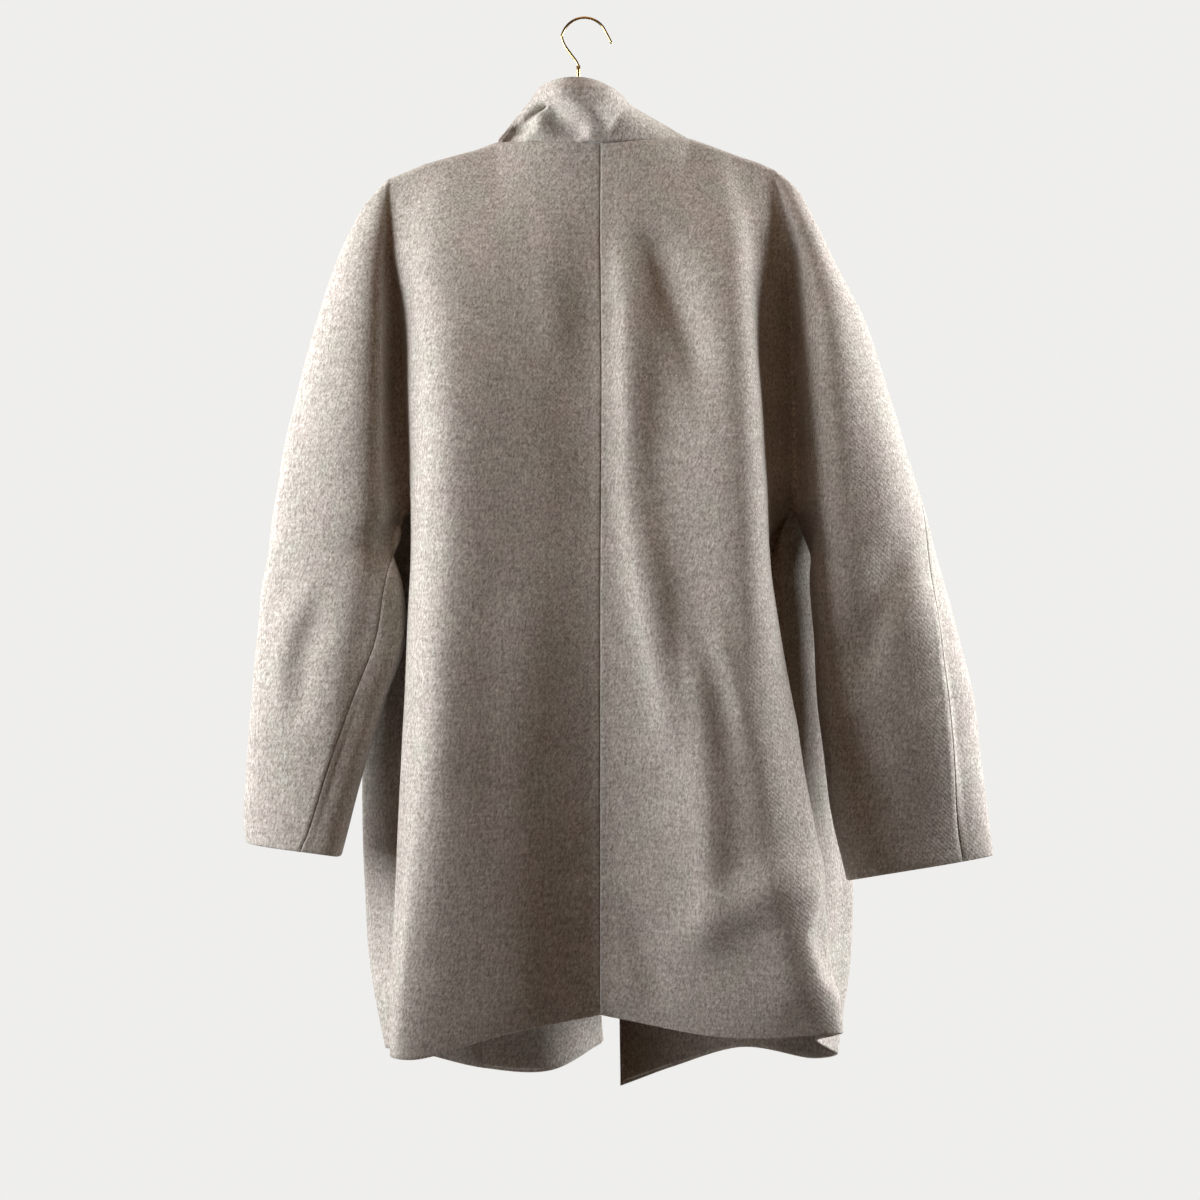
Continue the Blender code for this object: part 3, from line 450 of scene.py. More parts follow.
# The two sides of the wool: what each gives to the melange and the nap, and its sheen.
WOOLS = {
    "melton_face": {
        "melange": {"Fleck scale": 1.0, "Streaks": 0.42},
        "nap": {"Fibre": 0.9, "Lumps": 0.4, "Twill": 0.3},
        "sheen": 0.25,
    },
    "melton_inside": {
        "melange": {"Fleck scale": 0.95, "Streaks": 0.34},
        "nap": {"Fibre": 0.8, "Lumps": 0.4, "Twill": 0.25},
        "sheen": 0.2,
    },
}

BRASS_COLOUR = (0.83, 0.62, 0.30)
BRASS_DULL = (0.62, 0.42, 0.18)
BRASS_WEAR_SCALE = 160.0
BRASS_WEAR_DETAIL = 3.0
BRASS_ROUGHNESS = (0.16, 0.34)
BAR_COLOUR = (0.83, 0.81, 0.77)
BAR_SHADE = 0.9
BAR_GRAIN_SCALE = 220.0
BAR_BUMP = {"Distance": 0.0001, "Strength": 0.3}
BAR_ROUGHNESS = 0.55

# The studio, in metres but for the floor.
CAMERA_PLACE = (0.017, -1.8, -0.581)
CAMERA_LENS = 54.0
CAMERA_SENSOR = 36.0
FLOOR_RADIUS = 600.0
FLOOR_LEVEL = -1900.0
FLOOR_SIDES = 64
FLOOR_COLOUR = (0.82, 0.81, 0.79)
FLOOR_ROUGHNESS = 0.9
SEEN_BACKGROUND = {"Color": (0.86, 0.855, 0.84, 1), "Strength": 1.0}
FILL_BACKGROUND = {"Color": (1.0, 0.48, 0.2, 1), "Strength": 0.05}
LIT_POINT = (0.02, 0.0, -0.55)
LIGHT_SIDE = 1.1
# Each light, with its turn round the coat and its rise in degrees.
LIGHT_COLUMNS = ("name", "turn", "rise", "distance", "power", "colour")
LIGHTS = (
    ("left_light", -79, 15, 1.5, 47.0, (0.98, 0.99, 1.0)),
    ("right_light", 93, 14, 2.2, 108.0, (0.98, 0.99, 1.0)),
    ("top_light", 0, 72, 2.4, 9.0, (1.0, 0.7, 0.48)),
    ("open_side_light", 180, 12, 2.6, 12.0, (1.0, 0.97, 0.93)),
)


# The cut


def lerp(a, b, share):
    """The place that lies a share of the way from a to b."""
    return np.asarray(a, float) * (1 - share) + np.asarray(b, float) * share


def hermite(start, end, start_slope, end_slope, t):
    """A point of the smooth curve that leaves the start and reaches the end with the slopes given."""
    return (
        (2 * t**3 - 3 * t**2 + 1) * start
        + (t**3 - 2 * t**2 + t) * start_slope
        + (3 * t**2 - 2 * t**3) * end
        + (t**3 - t**2) * end_slope
    )


def curve_through(stations, spans):
    """Points on a smooth curve through the stations, with the given number of steps in each span."""
    stations = np.asarray(stations, float)
    first = 2 * stations[0] - stations[1]
    last = 2 * stations[-1] - stations[-2]
    padded = np.vstack([first, stations, last])
    reach = np.sqrt(np.linalg.norm(np.diff(padded, axis=0), axis=1)).clip(1e-6)
    points = [stations[0]]
    for i, steps in enumerate(spans):
        p0, p1, p2, p3 = padded[i:i + 4]
        d0, d1, d2 = reach[i:i + 3]
        m1 = (p1 - p0) / d0 - (p2 - p0) / (d0 + d1) + (p2 - p1) / d1
        m2 = (p2 - p1) / d1 - (p3 - p1) / (d1 + d2) + (p3 - p2) / d2
        for k in range(1, steps + 1):
            points.append(hermite(p1, p2, m1 * d1, m2 * d1, k / steps))
    return np.array(points)


def rows_between(levels, rows, first_slope=None, last_slope=None):
    """Rows of points between levels of points, smooth down each column. Levels are (n, columns, 3)."""
    levels = np.asarray(levels, float)
    reach = np.abs(np.diff(levels[:, :, 2].mean(1)))
    slopes = np.zeros_like(levels)
    steps = np.diff(levels, axis=0) / reach[:, None, None]
    slopes[0] = steps[0] if first_slope is None else first_slope
    slopes[-1] = steps[-1] if last_slope is None else last_slope
    for i in range(1, len(levels) - 1):
        share = reach[i - 1] / (reach[i - 1] + reach[i])
        slopes[i] = lerp(steps[i - 1], steps[i], share)
    made = [levels[0]]
    for i, count in enumerate(rows):
        for k in range(1, count + 1):
            made.append(
                hermite(levels[i], levels[i + 1], slopes[i] * reach[i], slopes[i + 1] * reach[i], k / count)
            )
    return np.array(made), slopes


def body_stations(side, level):
    """The body's named stations at a level, as (x, y, z), or at the hem where level is None."""
    out = SIDES[side]
    if level is None:
        found = {name: np.array(point, float) for name, point in HEM[side].items()}
        across, deep = HEM_ROUND_ACROSS, HEM_ROUND_DEEP
    else:
        depth = dict(zip(DEPTH_COLUMNS, DEPTHS[level]))
        width = dict(zip(WIDTH_COLUMNS, WIDTHS[side][level]))
        z = depth["z"]
        down = (DEPTHS[0][0] - z) / (DEPTHS[0][0] - DEPTHS[-1][0])
        radius = BULGE_RADIUS_TOP + (BULGE_RADIUS_HEM - BULGE_RADIUS_TOP) * down
        across, deep = width["round_across"], width["round_deep"]
        found = {
            "centre": (CENTRE_BACK_X, depth["centre"], z),
            "middle": ((CENTRE_BACK_X + width["ridge"]) / 2, depth["middle"], z),
            "ridge": (width["ridge"], width["ridge_depth"], z),
            "valley": (width["valley"], depth["valley"], z),
            "front_valley": (width["valley"], depth["front_valley"], z),
            "bulge": (width["bulge"], depth["bulge"], z),
            "edge": (width["edge"], depth["edge"], z),
        }
        found = {name: np.array(point, float) for name, point in found.items()}
        found["turn"] = found["bulge"] + (-out * TURN_IN * radius, TURN_FORWARD * radius, 0)
        for name, share in FRONT_SHARES.items():
            found[name] = lerp(found["turn"], found["edge"], share)
            found[name][1] = depth[name]
    found.setdefault("front_valley", found["valley"])
    found["before_ridge"] = found["ridge"] + (-out * across, -deep, 0)
    found["after_ridge"] = lerp(found["ridge"], found["valley"], VALLEY_SHARE)
    found["before_bulge"] = lerp(found["bulge"], found["front_valley"], VALLEY_SHARE)
    return found


def sleeve_point(side, level, angle):
    """A point of the sleeve's oval, at the cuff where level is None: angle 0 is the overarm seam, +90 its front."""
    at_cuff = level is None
    row = dict(zip(CUFF_COLUMNS, CUFFS[side]) if at_cuff else zip(SLEEVE_COLUMNS, SLEEVES[side][level]))
    twist = row["twist"]
    if not at_cuff and level <= UNDERARM_LEVEL:
        twist *= (1 + np.cos(np.radians(angle))) / 2
    turn = np.radians(angle + twist)
    share = (1 + np.cos(turn)) / 2
    at_back = np.sin(turn) < 0
    x = row["inner"] + (row["outer"] - row["inner"]) * (share ** SLEEVE_LEAN[side] if at_back else share)
    y = row["middle"] + row["back_depth" if at_back else "front_depth"] * np.sin(turn)
    z = row["inner_z"] + (row["outer_z"] - row["inner_z"]) * share if at_cuff else row["z"]
    return np.array((x, y, z), float)


def sleeve_arc(side, level):
    """The sleeve's stations between its two underarm ends, back first."""
    back = [sleeve_point(side, level, -a) for a in SLEEVE_ANGLES]
    front = [sleeve_point(side, level, a) for a in reversed(SLEEVE_ANGLES)]
    return back + [sleeve_point(side, level, 0)] + front


def upper_section(side, level):
    """The whole half section at a level above the underarm, from centre back to front edge."""
    body = body_stations(side, level)
    stations = [body[n] for n in BACK_STATIONS] + sleeve_arc(side, level) + [body[n] for n in FRONT_STATIONS]
    return curve_through(stations, BACK_SPANS + (FINE,) * (2 * len(SLEEVE_ANGLES) + 2) + FRONT_SPANS)


def body_section(side, level):
    """The body alone below the underarm, from centre back over the side seam to the front edge."""
    body = body_stations(side, level)
    stations = [body[n] for n in BACK_STATIONS] + [body[n] for n in FRONT_STATIONS[1:]]
    return curve_through(stations, BACK_SPANS + FRONT_SPANS)


def sleeve_section(side, level):
    """The sleeve alone below the underarm, from its underarm seam round to it again."""
    stations = (180,) + SLEEVE_ANGLES + (0,)
    half = np.interp(np.linspace(0, len(stations) - 1, SLEEVE_HALF + 1), range(len(stations)), stations)
    back = [sleeve_point(side, level, -a) for a in half]
    front = [sleeve_point(side, level, a) for a in half[-2::-1]]
    return np.array(back + front)


def shoulder_height(side, x):
    """The height of the shoulder seam at a place across."""
    line = sorted(SHOULDER_LINE[side])
    return float(np.interp(x, [p[0] for p in line], [p[1] for p in line]))


def shoulder_row(side):
    """Row 0: the neckline, and the shoulder seam that the back and the front share."""
    at = SHOULDER_STATIONS[side]
    xs = [at["neck"]]
    for start, end, count in zip(SEAM_STATIONS, SEAM_STATIONS[1:], BACK_SPANS[1:] + (SLEEVE_HALF,)):
        xs += [at[start] + (at[end] - at[start]) * k / count for k in range(1, count + 1)]
    seam = [np.array((x, 0.0, shoulder_height(side, x))) for x in xs]
    neck = seam[0]
    back_neck = np.array(NECK_BACK, float)
    front_neck = np.array(NECK_FRONT[side], float)
    back = []
    for k in range(NECK):
        share = k / NECK
        point = lerp(back_neck, neck, share)
        point[1] = back_neck[1] * (1 - share**2)
        back.append(point)
    row = back + seam
    row += [row[2 * OVERARM - c] for c in range(OVERARM + 1, FRONT_EDGE - NECK + 1)]
    for k in range(1, NECK + 1):
        share = k / NECK
        point = lerp(neck, front_neck, share)
        point[1] = front_neck[1] * share**NECK_FORWARD_POWER
        point[2] = neck[2] + (front_neck[2] - neck[2]) * share**NECK_DOWN_POWER
        row.append(point)
    return np.array(row)


def shoulder_rows(top, level, next_level):
    """Rows from the shoulder seam to the first level, rolled over the seam and running smoothly into the next."""
    columns = np.arange(FRONT_EDGE + 1)
    rolled = np.clip(np.minimum(columns, FRONT_EDGE - columns) / NECK, 0, 1)
    rolled = rolled * np.clip(np.abs(columns - OVERARM) / (ROLL_COLUMNS * FINE), 0, 1)
    sides = np.sign(columns - OVERARM)
    reach = level - top
    drop = np.abs(reach[:, 2])[:, None]
    ahead = (next_level - level) / np.abs((next_level - level)[:, 2].mean())
    slope = lerp(reach / drop, ahead, SHOULDER_EASE)
    end_slope = slope * drop
    # The curve starts with no bend of its own.
    start_slope = 1.5 * reach - 0.5 * end_slope
    rows = []
    for share in SHOULDER_ROWS:
        into = np.linalg.norm(reach, axis=1) * share
        arc = np.sqrt(1 - (1 - np.clip(into / SHOULDER_RADIUS, 0, 1)) ** 2)
        row = hermite(top, level, start_slope, end_slope, share)
        row[:, 1] += sides * rolled * SHOULDER_RADIUS * arc * (1 - share) ** SHOULDER_FADE
        rows.append(row)
    return np.array(rows), slope


def fold_height(face, points, folds=FOLDS):
    """How far the soft folds lift each point of the back or front."""
    lift = np.zeros(points.shape[:-1])
    for row in folds:
        fold = dict(zip(FOLD_COLUMNS, row))
        if fold["face"] != face:
            continue
        start = np.array((fold["from_x"], fold["from_z"]), float)
        along = np.array((fold["to_x"], fold["to_z"]), float) - start
        place = points[..., (0, 2)] - start
        share = (place @ along) / (along @ along)
        nearest = place - np.clip(share, 0, 1)[..., None] * along
        across = np.linalg.norm(nearest, axis=-1) / fold["half_width"]
        ends = np.clip(1 - np.abs(2 * share - 1), 0, 1)
        lift += fold["height"] * np.exp(-(across**2)) * np.sqrt(ends)
    return lift


def half_coat(side):
    """Rows of points over one half of the coat: the upper part, the body and the sleeve below the underarm."""
    levels = [upper_section(side, i) for i in range(UNDERARM_LEVEL + 1)]
    body_levels = [body_section(side, i) for i in range(UNDERARM_LEVEL + 1, len(DEPTHS))] + [body_section(side, None)]
    sleeve_levels = [sleeve_section(side, i) for i in range(UNDERARM_LEVEL + 1, len(SLEEVES[side]))]
    sleeve_levels.append(sleeve_section(side, None))

    top = shoulder_row(side)
    shoulder, first_slope = shoulder_rows(top, levels[0], levels[1])

    underarm = levels[UNDERARM_LEVEL]
    body_start = np.vstack([underarm[:BACK_COLUMNS + 1], underarm[FRONT_VALLEY + 1:]])
    sleeve_start = underarm[BACK_COLUMNS:FRONT_VALLEY + 1]
    next_body, next_sleeve = body_levels[0], sleeve_levels[0]
    gap = abs(DEPTHS[UNDERARM_LEVEL][0] - DEPTHS[UNDERARM_LEVEL + 1][0])
    below = underarm.copy()
    below[:BACK_COLUMNS] = next_body[:BACK_COLUMNS]
    below[BACK_COLUMNS + 1:FRONT_VALLEY] = next_sleeve[1:-1]
    below[FRONT_VALLEY + 1:] = next_body[BACK_COLUMNS + 1:]
    middle = (next_body[BACK_COLUMNS] + next_sleeve[0]) / 2
    below[BACK_COLUMNS] = middle
    below[FRONT_VALLEY] = middle
    near = abs(DEPTHS[UNDERARM_LEVEL - 1][0] - DEPTHS[UNDERARM_LEVEL][0])
    before = (underarm - levels[UNDERARM_LEVEL - 1]) / near
    after = (below - underarm) / gap
    underarm_slope = lerp(before, after, near / (near + gap))

    upper, _ = rows_between(levels, UPPER_ROWS, first_slope, underarm_slope)
    body_slope = np.vstack([underarm_slope[:BACK_COLUMNS + 1], underarm_slope[FRONT_VALLEY + 1:]])
    sleeve_slope = underarm_slope[BACK_COLUMNS:FRONT_VALLEY + 1].copy()
    shares = UNDERARM_SHARES + (0.0,)
    for step in range(len(UNDERARM_SHARES) * FINE):
        share = np.interp(step / FINE, range(len(shares)), shares)
        for c in {BACK_COLUMNS - step, BACK_COLUMNS + step}:
            body_slope[c, 0] -= SIDES[side] * UNDERARM_SPREAD * share
        for c in (step, -1 - step):
            sleeve_slope[c, 0] += SIDES[side] * UNDERARM_SPREAD * share
    body, _ = rows_between([body_start] + body_levels, BODY_ROWS, body_slope)
    sleeve, _ = rows_between([sleeve_start] + sleeve_levels, SLEEVE_ROWS, sleeve_slope)
    upper = np.vstack([shoulder[:-1], upper])
    return {"upper": upper, "body": body, "sleeve": sleeve}


def add_folds(parts):
    """Lifts the soft folds out of the back (towards -Y) and out of the front (towards +Y)."""
    for name in ("upper", "body"):
        points = parts[name]
        front_start = FRONT_VALLEY if name == "upper" else BACK_COLUMNS
        points[:, :BACK_COLUMNS, 1] -= fold_height("back", points[:, :BACK_COLUMNS])
        points[:, front_start + 1:, 1] += fold_height("front", points[:, front_start + 1:])


# The net


class Surface:
    """The coat's outer surface: shared points and the faces of each panel."""

    def __init__(self):
        self.points = []
        self.ids = {}
        self.panels = {}
        self.looseness = None

    def point(self, key, place):
        """The number of the point with this key, which is added the first time."""
        if key not in self.ids:
            self.ids[key] = len(self.points)
            self.points.append(place)
        return self.ids[key]

    def quads(self, panel, grid, flip):
        """Adds the faces between the rows of a grid of point numbers to a panel."""
        faces = self.panels.setdefault(panel, [])
        for upper, lower in zip(grid, grid[1:]):
            for c in range(len(upper) - 1):
                quad = list(dict.fromkeys((upper[c], lower[c], lower[c + 1], upper[c + 1])))
                if len(quad) > 2:
                    faces.append(quad[::-1] if flip else quad)

    def edges(self):
        """Every edge once, and the points on an open edge of the cloth."""
        pairs = [(a, b) for faces in self.panels.values() for f in faces for a, b in zip(f, f[1:] + f[:1])]
        pairs = np.sort(np.array(pairs), axis=1)
        unique, counts = np.unique(pairs, axis=0, return_counts=True)
        return unique, np.unique(unique[counts == 1])

    def smooth(self, passes):
        """Evens out small kinks between the open edges and keeps the larger forms."""
        edges, held = self.edges()
        ends = np.concatenate([edges, edges[:, ::-1]])
        degree = np.bincount(ends[:, 0], minlength=len(self.points)).clip(1)
        free = self.looseness.copy()
        free[held] = 0.0
        for k in range(2 * passes):
            for axis in range(3):
                values = self.points[:, axis]
                total = np.bincount(ends[:, 0], values[ends[:, 1]], len(self.points))
                self.points[:, axis] = values + SMOOTHING_STEPS[k % 2] * free * (total / degree - values)

    def find_normals(self):
        """Normals at the points, longer where the cloth bends sharply, so that walls keep their thickness."""
        corners = np.array([f if len(f) == 4 else f + f[:1] for faces in self.panels.values() for f in faces])
        places = self.points[corners]
        area = np.cross(places[:, 2] - places[:, 0], places[:, 3] - places[:, 1])
        area /= np.linalg.norm(area, axis=1).clip(1e-9)[:, None]
        normals = np.zeros_like(self.points)
        for k in range(4):
            np.add.at(normals, corners[:, k], area)
        normals /= np.linalg.norm(normals, axis=1).clip(1e-9)[:, None]
        spread = np.zeros(len(self.points))
        for k in range(4):
            np.add.at(spread, corners[:, k], np.einsum("ij,ij->i", normals[corners[:, k]], area))
        counts = np.bincount(corners.ravel(), minlength=len(self.points)).clip(1)
        self.normals = normals / (spread / counts).clip(MITRE_LIMIT, 1)[:, None]


def panel_part(grids, part, face):
    """The rows of one part of half a coat that belong to its back or to its front."""
    seam = SEAM_COLUMNS[part]
    return [row[:seam + 1] if face == "back" else row[seam:] for row in grids[part]]


def add_half(surface, side):
    """Adds one half of the coat to the surface, sharing the points that its seams share."""
    parts = half_coat(side)
    add_folds(parts)
    upper, body, sleeve = parts["upper"], parts["body"], parts["sleeve"]
    underarm_row = len(upper) - 1
    flip = side == "left"

    def upper_id(r, c):
        if r == 0 and OVERARM < c <= FRONT_EDGE - NECK:
            c = 2 * OVERARM - c
        if r == underarm_row and c == FRONT_VALLEY:
            c = BACK_COLUMNS
        key = ("centre", r) if c == 0 else (side, "upper", r, c)
        return surface.point(key, upper[r, c])

    def body_id(r, c):
        if r == 0:
            return upper_id(underarm_row, c if c <= BACK_COLUMNS else c + 2 * SLEEVE_HALF)
        key = ("centre", underarm_row + r) if c == 0 else (side, "body", r, c)
        return surface.point(key, body[r, c])

    def sleeve_id(r, c):
        if r == 0:
            return upper_id(underarm_row, BACK_COLUMNS + c)
        if c == 2 * SLEEVE_HALF:
            c = 0
        return surface.point((side, "sleeve", r, c), sleeve[r, c])

    grids = {
        "upper": [[upper_id(r, c) for c in range(FRONT_EDGE + 1)] for r in range(underarm_row + 1)],
        "body": [[body_id(r, c) for c in range(body.shape[1])] for r in range(len(body))],
        "sleeve": [[sleeve_id(r, c) for c in range(2 * SLEEVE_HALF + 1)] for r in range(len(sleeve))],
    }
    for face in ("back", "front"):
        for part in SEAM_COLUMNS:
            surface.quads(f"{face}_{side}", panel_part(grids, part, face), flip)
    grids["underarm"] = grids["upper"][underarm_row][BACK_COLUMNS]
    return grids


def collar_path(grids):
    """The neckline from the left front edge round the back to the right front edge, as point numbers."""
    left, right = grids["left"]["upper"][0], grids["right"]["upper"][0]
    front = FRONT_EDGE - NECK
    path = [left[c] for c in range(FRONT_EDGE, front - 1, -1)]
    path += [left[c] for c in range(NECK - 1, 0, -1)]
    path += [right[c] for c in range(0, NECK)]
    path += [right[c] for c in range(front, FRONT_EDGE + 1)]
    return path


def collar_top(angle):
    """The collar's top edge at an angle: 270 is centre back, 360 the wearer's right and 180 the left side."""
    turn = np.radians(angle)
    across, depth = np.cos(turn), np.sin(turn)
    reach = COLLAR_TOP["back_depth"] if depth < 0 else COLLAR_TOP["front_depth"]
    level = COLLAR_TOP_Z["back"] if depth < 0 else COLLAR_TOP_Z["front"]
    side_z = COLLAR_TOP_Z["left"] + (COLLAR_TOP_Z["right"] - COLLAR_TOP_Z["left"]) * (1 + across) / 2
    z = side_z + (level - side_z) * abs(depth) ** COLLAR_TOP_POWER
    return np.array((COLLAR_TOP["centre_x"] + COLLAR_TOP["half_width"] * across, reach * depth, z))


def collar_grid(base):
    """Rows of points of the collar, from the neckline up to its top edge."""
    last = len(base) - 1
    front = 90 - COLLAR_FRONT_OPENING
    turns = np.interp(np.arange(last + 1), (0, NECK, last - NECK, last), (180 - front, 180, 360, 360 + front))
    top = np.array([collar_top(t) for t in turns])
    rows = np.array([lerp(base, top, share) for share in COLLAR_ROWS])
    behind = np.sin(np.radians(turns)) < COLLAR_FOLDS_BELOW
    rows[1:, :, 1] -= fold_height("back", rows[1:], COLLAR_FOLDS) * behind
    return rows


def add_collar(surface, grids):
    """Adds the collar on the neckline's own points."""
    path = collar_path(grids)
    base = np.array([surface.points[i] for i in path])
    rows = collar_grid(base)
    grid = [path]
    for r in range(1, len(rows)):
        grid.append([surface.point(("collar", r, c), rows[r, c]) for c in range(len(path))])
    surface.quads("collar", grid, True)
    return grid


# Creases and unevenness


def crease_height(face, points, left_at_ends):
    """How far a face's creases lift each point, from its place as seen from behind."""
    lift = np.zeros(len(points))
    flat = points[:, (0, 2)]
    for row in CREASES:
        crease = dict(zip(CREASE_COLUMNS, row))
        if crease["face"] != face:
            continue
        left, right = crease["left_width"], crease["right_width"]
        path = np.array(crease["path"], float)
        steps = np.diff(path, axis=0)
        reach = np.linalg.norm(steps, axis=1)
        total, start = reach.sum(), 0.0
        best, side, share = np.full(len(points), np.inf), np.zeros(len(points)), np.zeros(len(points))
        for place, step, size in zip(path, steps, reach):
            offset = flat - place
            along = np.clip(offset @ step / size**2, 0, 1)
            gap = offset - along[:, None] * step
            distance = np.linalg.norm(gap, axis=1)
            closer = distance < best
            best = np.where(closer, distance, best)
            side = np.where(closer, gap[:, 0], side)
            share = np.where(closer, (start + along * size) / total, share)
            start += size
        turn = np.clip(0.5 + CREASE_TURN * side / best.clip(1e-6), 0, 1)
        width = left + (right - left) * turn * turn * (3 - 2 * turn)
        ends = np.clip(share * (1 - share) * CREASE_RISE, 0, 1)
        lift += crease["height"] * np.exp(-((best / width) ** 2)) * (left_at_ends + (1 - left_at_ends) * ends)
    return lift


def undulation(points):
    """A gentle unevenness: a sum of waves in fixed directions."""
    draw = np.random.default_rng(UNEVEN_SEED)
    total = np.zeros(len(points))
    for wavelength in UNEVEN_LENGTHS:
        for _ in range(UNEVEN_WAVES):
            direction = draw.normal(size=3)
            direction /= np.linalg.norm(direction)
            phase = draw.uniform(0, 2 * math.pi)
            total += np.sin(points @ direction * 2 * math.pi / wavelength + phase) * wavelength
    return UNEVEN_HEIGHT * total / (np.abs(total).max() + 1e-9)


def press_in(surface):
    """Adds the fine creases and the cloth's unevenness along the normals."""
    surface.find_normals()
    lift = undulation(surface.points)
    names = {"back": ("back_left", "back_right"), "front": ("front_left", "front_right")}
    for face, panels in names.items():
        ids = np.unique(np.concatenate([np.concatenate(surface.panels[p]) for p in panels]))
        lift[ids] += crease_height(face, surface.points[ids], CREASE_ENDS)
    surface.points = surface.points + surface.normals * lift[:, None]


def finer(values, times):
    """Points between the rows given, on a smooth curve through them."""
    before, after = 2 * values[:1] - values[1:2], 2 * values[-1:] - values[-2:-1]
    padded = np.concatenate([before, values, after])
    made = []
    for i in range(len(values) - 1):
        a, b, c, d = padded[i:i + 4]
        for t in np.arange(times) / times:
            bend = (2 * a - 5 * b + 4 * c - d) * t**2 + (-a + 3 * b - 3 * c + d) * t**3
            made.append((2 * b + (c - a) * t + bend) / 2)
    return np.array(made + [values[-1]])


def fine_collar(surface, grid):
    """The collar again on a finer net, with its sharper folds pressed in between the neck seam and the top edge."""
    ids = np.array(grid)
    places = finer(surface.points[ids].swapaxes(0, 1), COLLAR_FINER).swapaxes(0, 1)
    seam = finer(surface.normals[ids[0]], COLLAR_FINER)
    rows, columns = places.shape[:2]
    fine = Surface()
    fine.points = places.reshape(-1, 3)
    net = np.arange(rows * columns).reshape(rows, columns).tolist()
    fine.quads("collar", net, True)
    fine.looseness = np.ones(len(fine.points))
    fine.smooth(COLLAR_PASSES)
    fine.find_normals()
    steps = np.arange(rows)
    fade = np.clip(steps / COLLAR_SEAM_ROWS, 0, 1) * np.clip((rows - 1 - steps) / COLLAR_EDGE_ROWS, 0, 1)
    behind = np.clip((COLLAR_BACK_START - fine.points[:, 1]) / COLLAR_BACK_REACH, 0, 1)
    lift = crease_height("collar", fine.points, 0) * np.repeat(fade, columns) * behind
    fine.points = fine.points + fine.normals * lift[:, None]
    fine.find_normals()
    fine.normals[:columns] = seam
    return fine, net


# The making of a piece


def mesh_piece(name, points, faces, material):
    """A smooth mesh from points in millimetres."""
    mesh = bpy.data.meshes.new(name)
    mesh.from_pydata((np.asarray(points) * METRE).tolist(), [], faces)
    mesh.update()
    mesh.shade_smooth()
    mesh.materials.append(material)
    piece = bpy.data.objects.new(name, mesh)
    bpy.context.scene.collection.objects.link(piece)
    return piece


def ring_piece(name, rings, material):
    """A closed piece through rings of points, with a flat face at each end."""
    count, sides = len(rings), len(rings[0])
    faces = []
    for i in range(count - 1):
        a, b = i * sides, (i + 1) * sides
        for k in range(sides):
            n = (k + 1) % sides
            faces.append([a + k, b + k, b + n, a + n])
    last = (count - 1) * sides
    faces.append(list(range(sides)))
    faces.append([last + k for k in reversed(range(sides))])
    return mesh_piece(name, np.reshape(rings, (-1, 3)), faces, material)


def cut_edge(faces, points, normals):
    """The open edges of a piece of cloth, their points, and each point's way in and the distance to the next one."""
    arrows = {(a, b) for f in faces for a, b in zip(f, f[1:] + f[:1])}
    rim = [(a, b) for a, b in arrows if (b, a) not in arrows]
    edge = sorted({i for pair in rim for i in pair})
    inward = {i: np.zeros(3) for i in edge}
    reach = {i: math.inf for i in edge}
    for a, b in rim:
        for end in (a, b):
            side = np.cross(normals[end], points[b] - points[a])
            inward[end] += side / max(np.linalg.norm(side), 1e-9)
    for f in faces:
        for i in f:
            for j in f:
                if i in reach and j not in reach:
                    reach[i] = min(reach[i], float(np.linalg.norm(points[j] - points[i])))
    way_in = np.array([inward[i] for i in edge])
    way_in /= np.linalg.norm(way_in, axis=1).clip(1e-9)[:, None]
    return rim, edge, way_in, np.array([reach[i] for i in edge])


def cloth_wall(name, faces, points, normals, near, far, material, slanted=()):
    """One piece of cloth: a closed wall under the faces, parted from its neighbours, with rounded edges."""
    rim, edge, way_in, reach = cut_edge(faces, points, normals)
    used = sorted({i for f in faces for i in f} - set(edge))
    count, rings = len(used), len(edge)
    outer = {i: k for k, i in enumerate(used)}
    inner = {i: k + count for k, i in enumerate(used)}
    places = [points[used] - normals[used] * near, points[used] - normals[used] * far]
    rounding = np.minimum(EDGE_ROUNDING, EDGE_REACH * reach)[:, None]
    corner = min(EDGE_ROUNDING, (far - near) / EDGE_PARTS)
    profile = [(share, near + down * corner) for share, down in EDGE_PROFILE]
    profile += [(share, far - down * corner) for share, down in reversed(EDGE_PROFILE)]
    slant = np.array([(SEAM_SLANT if i in slanted else 0.0, 0.0, 0.0) for i in edge])
    for share, depth in profile:
        rim_row = points[edge] + way_in * (SEAM_GAP / 2 + share * rounding) - normals[edge] * depth
        places.append(rim_row + slant * depth)
    ring = [{i: 2 * count + k * rings + n for n, i in enumerate(edge)} for k in range(len(profile))]
    outer.update(ring[0])
    inner.update(ring[-1])
    made = [[outer[i] for i in f] for f in faces]
    made += [[inner[i] for i in reversed(f)] for f in faces]
    for a, b in rim:
        for one, two in zip(ring, ring[1:]):
            made.append([one[a], two[a], two[b], one[b]])
    return mesh_piece(name, np.vstack(places), made, material)


# Materials


def rgba(colour):
    """A colour with its alpha, or the number or socket as it is."""
    return (*colour, 1) if isinstance(colour, tuple) else colour


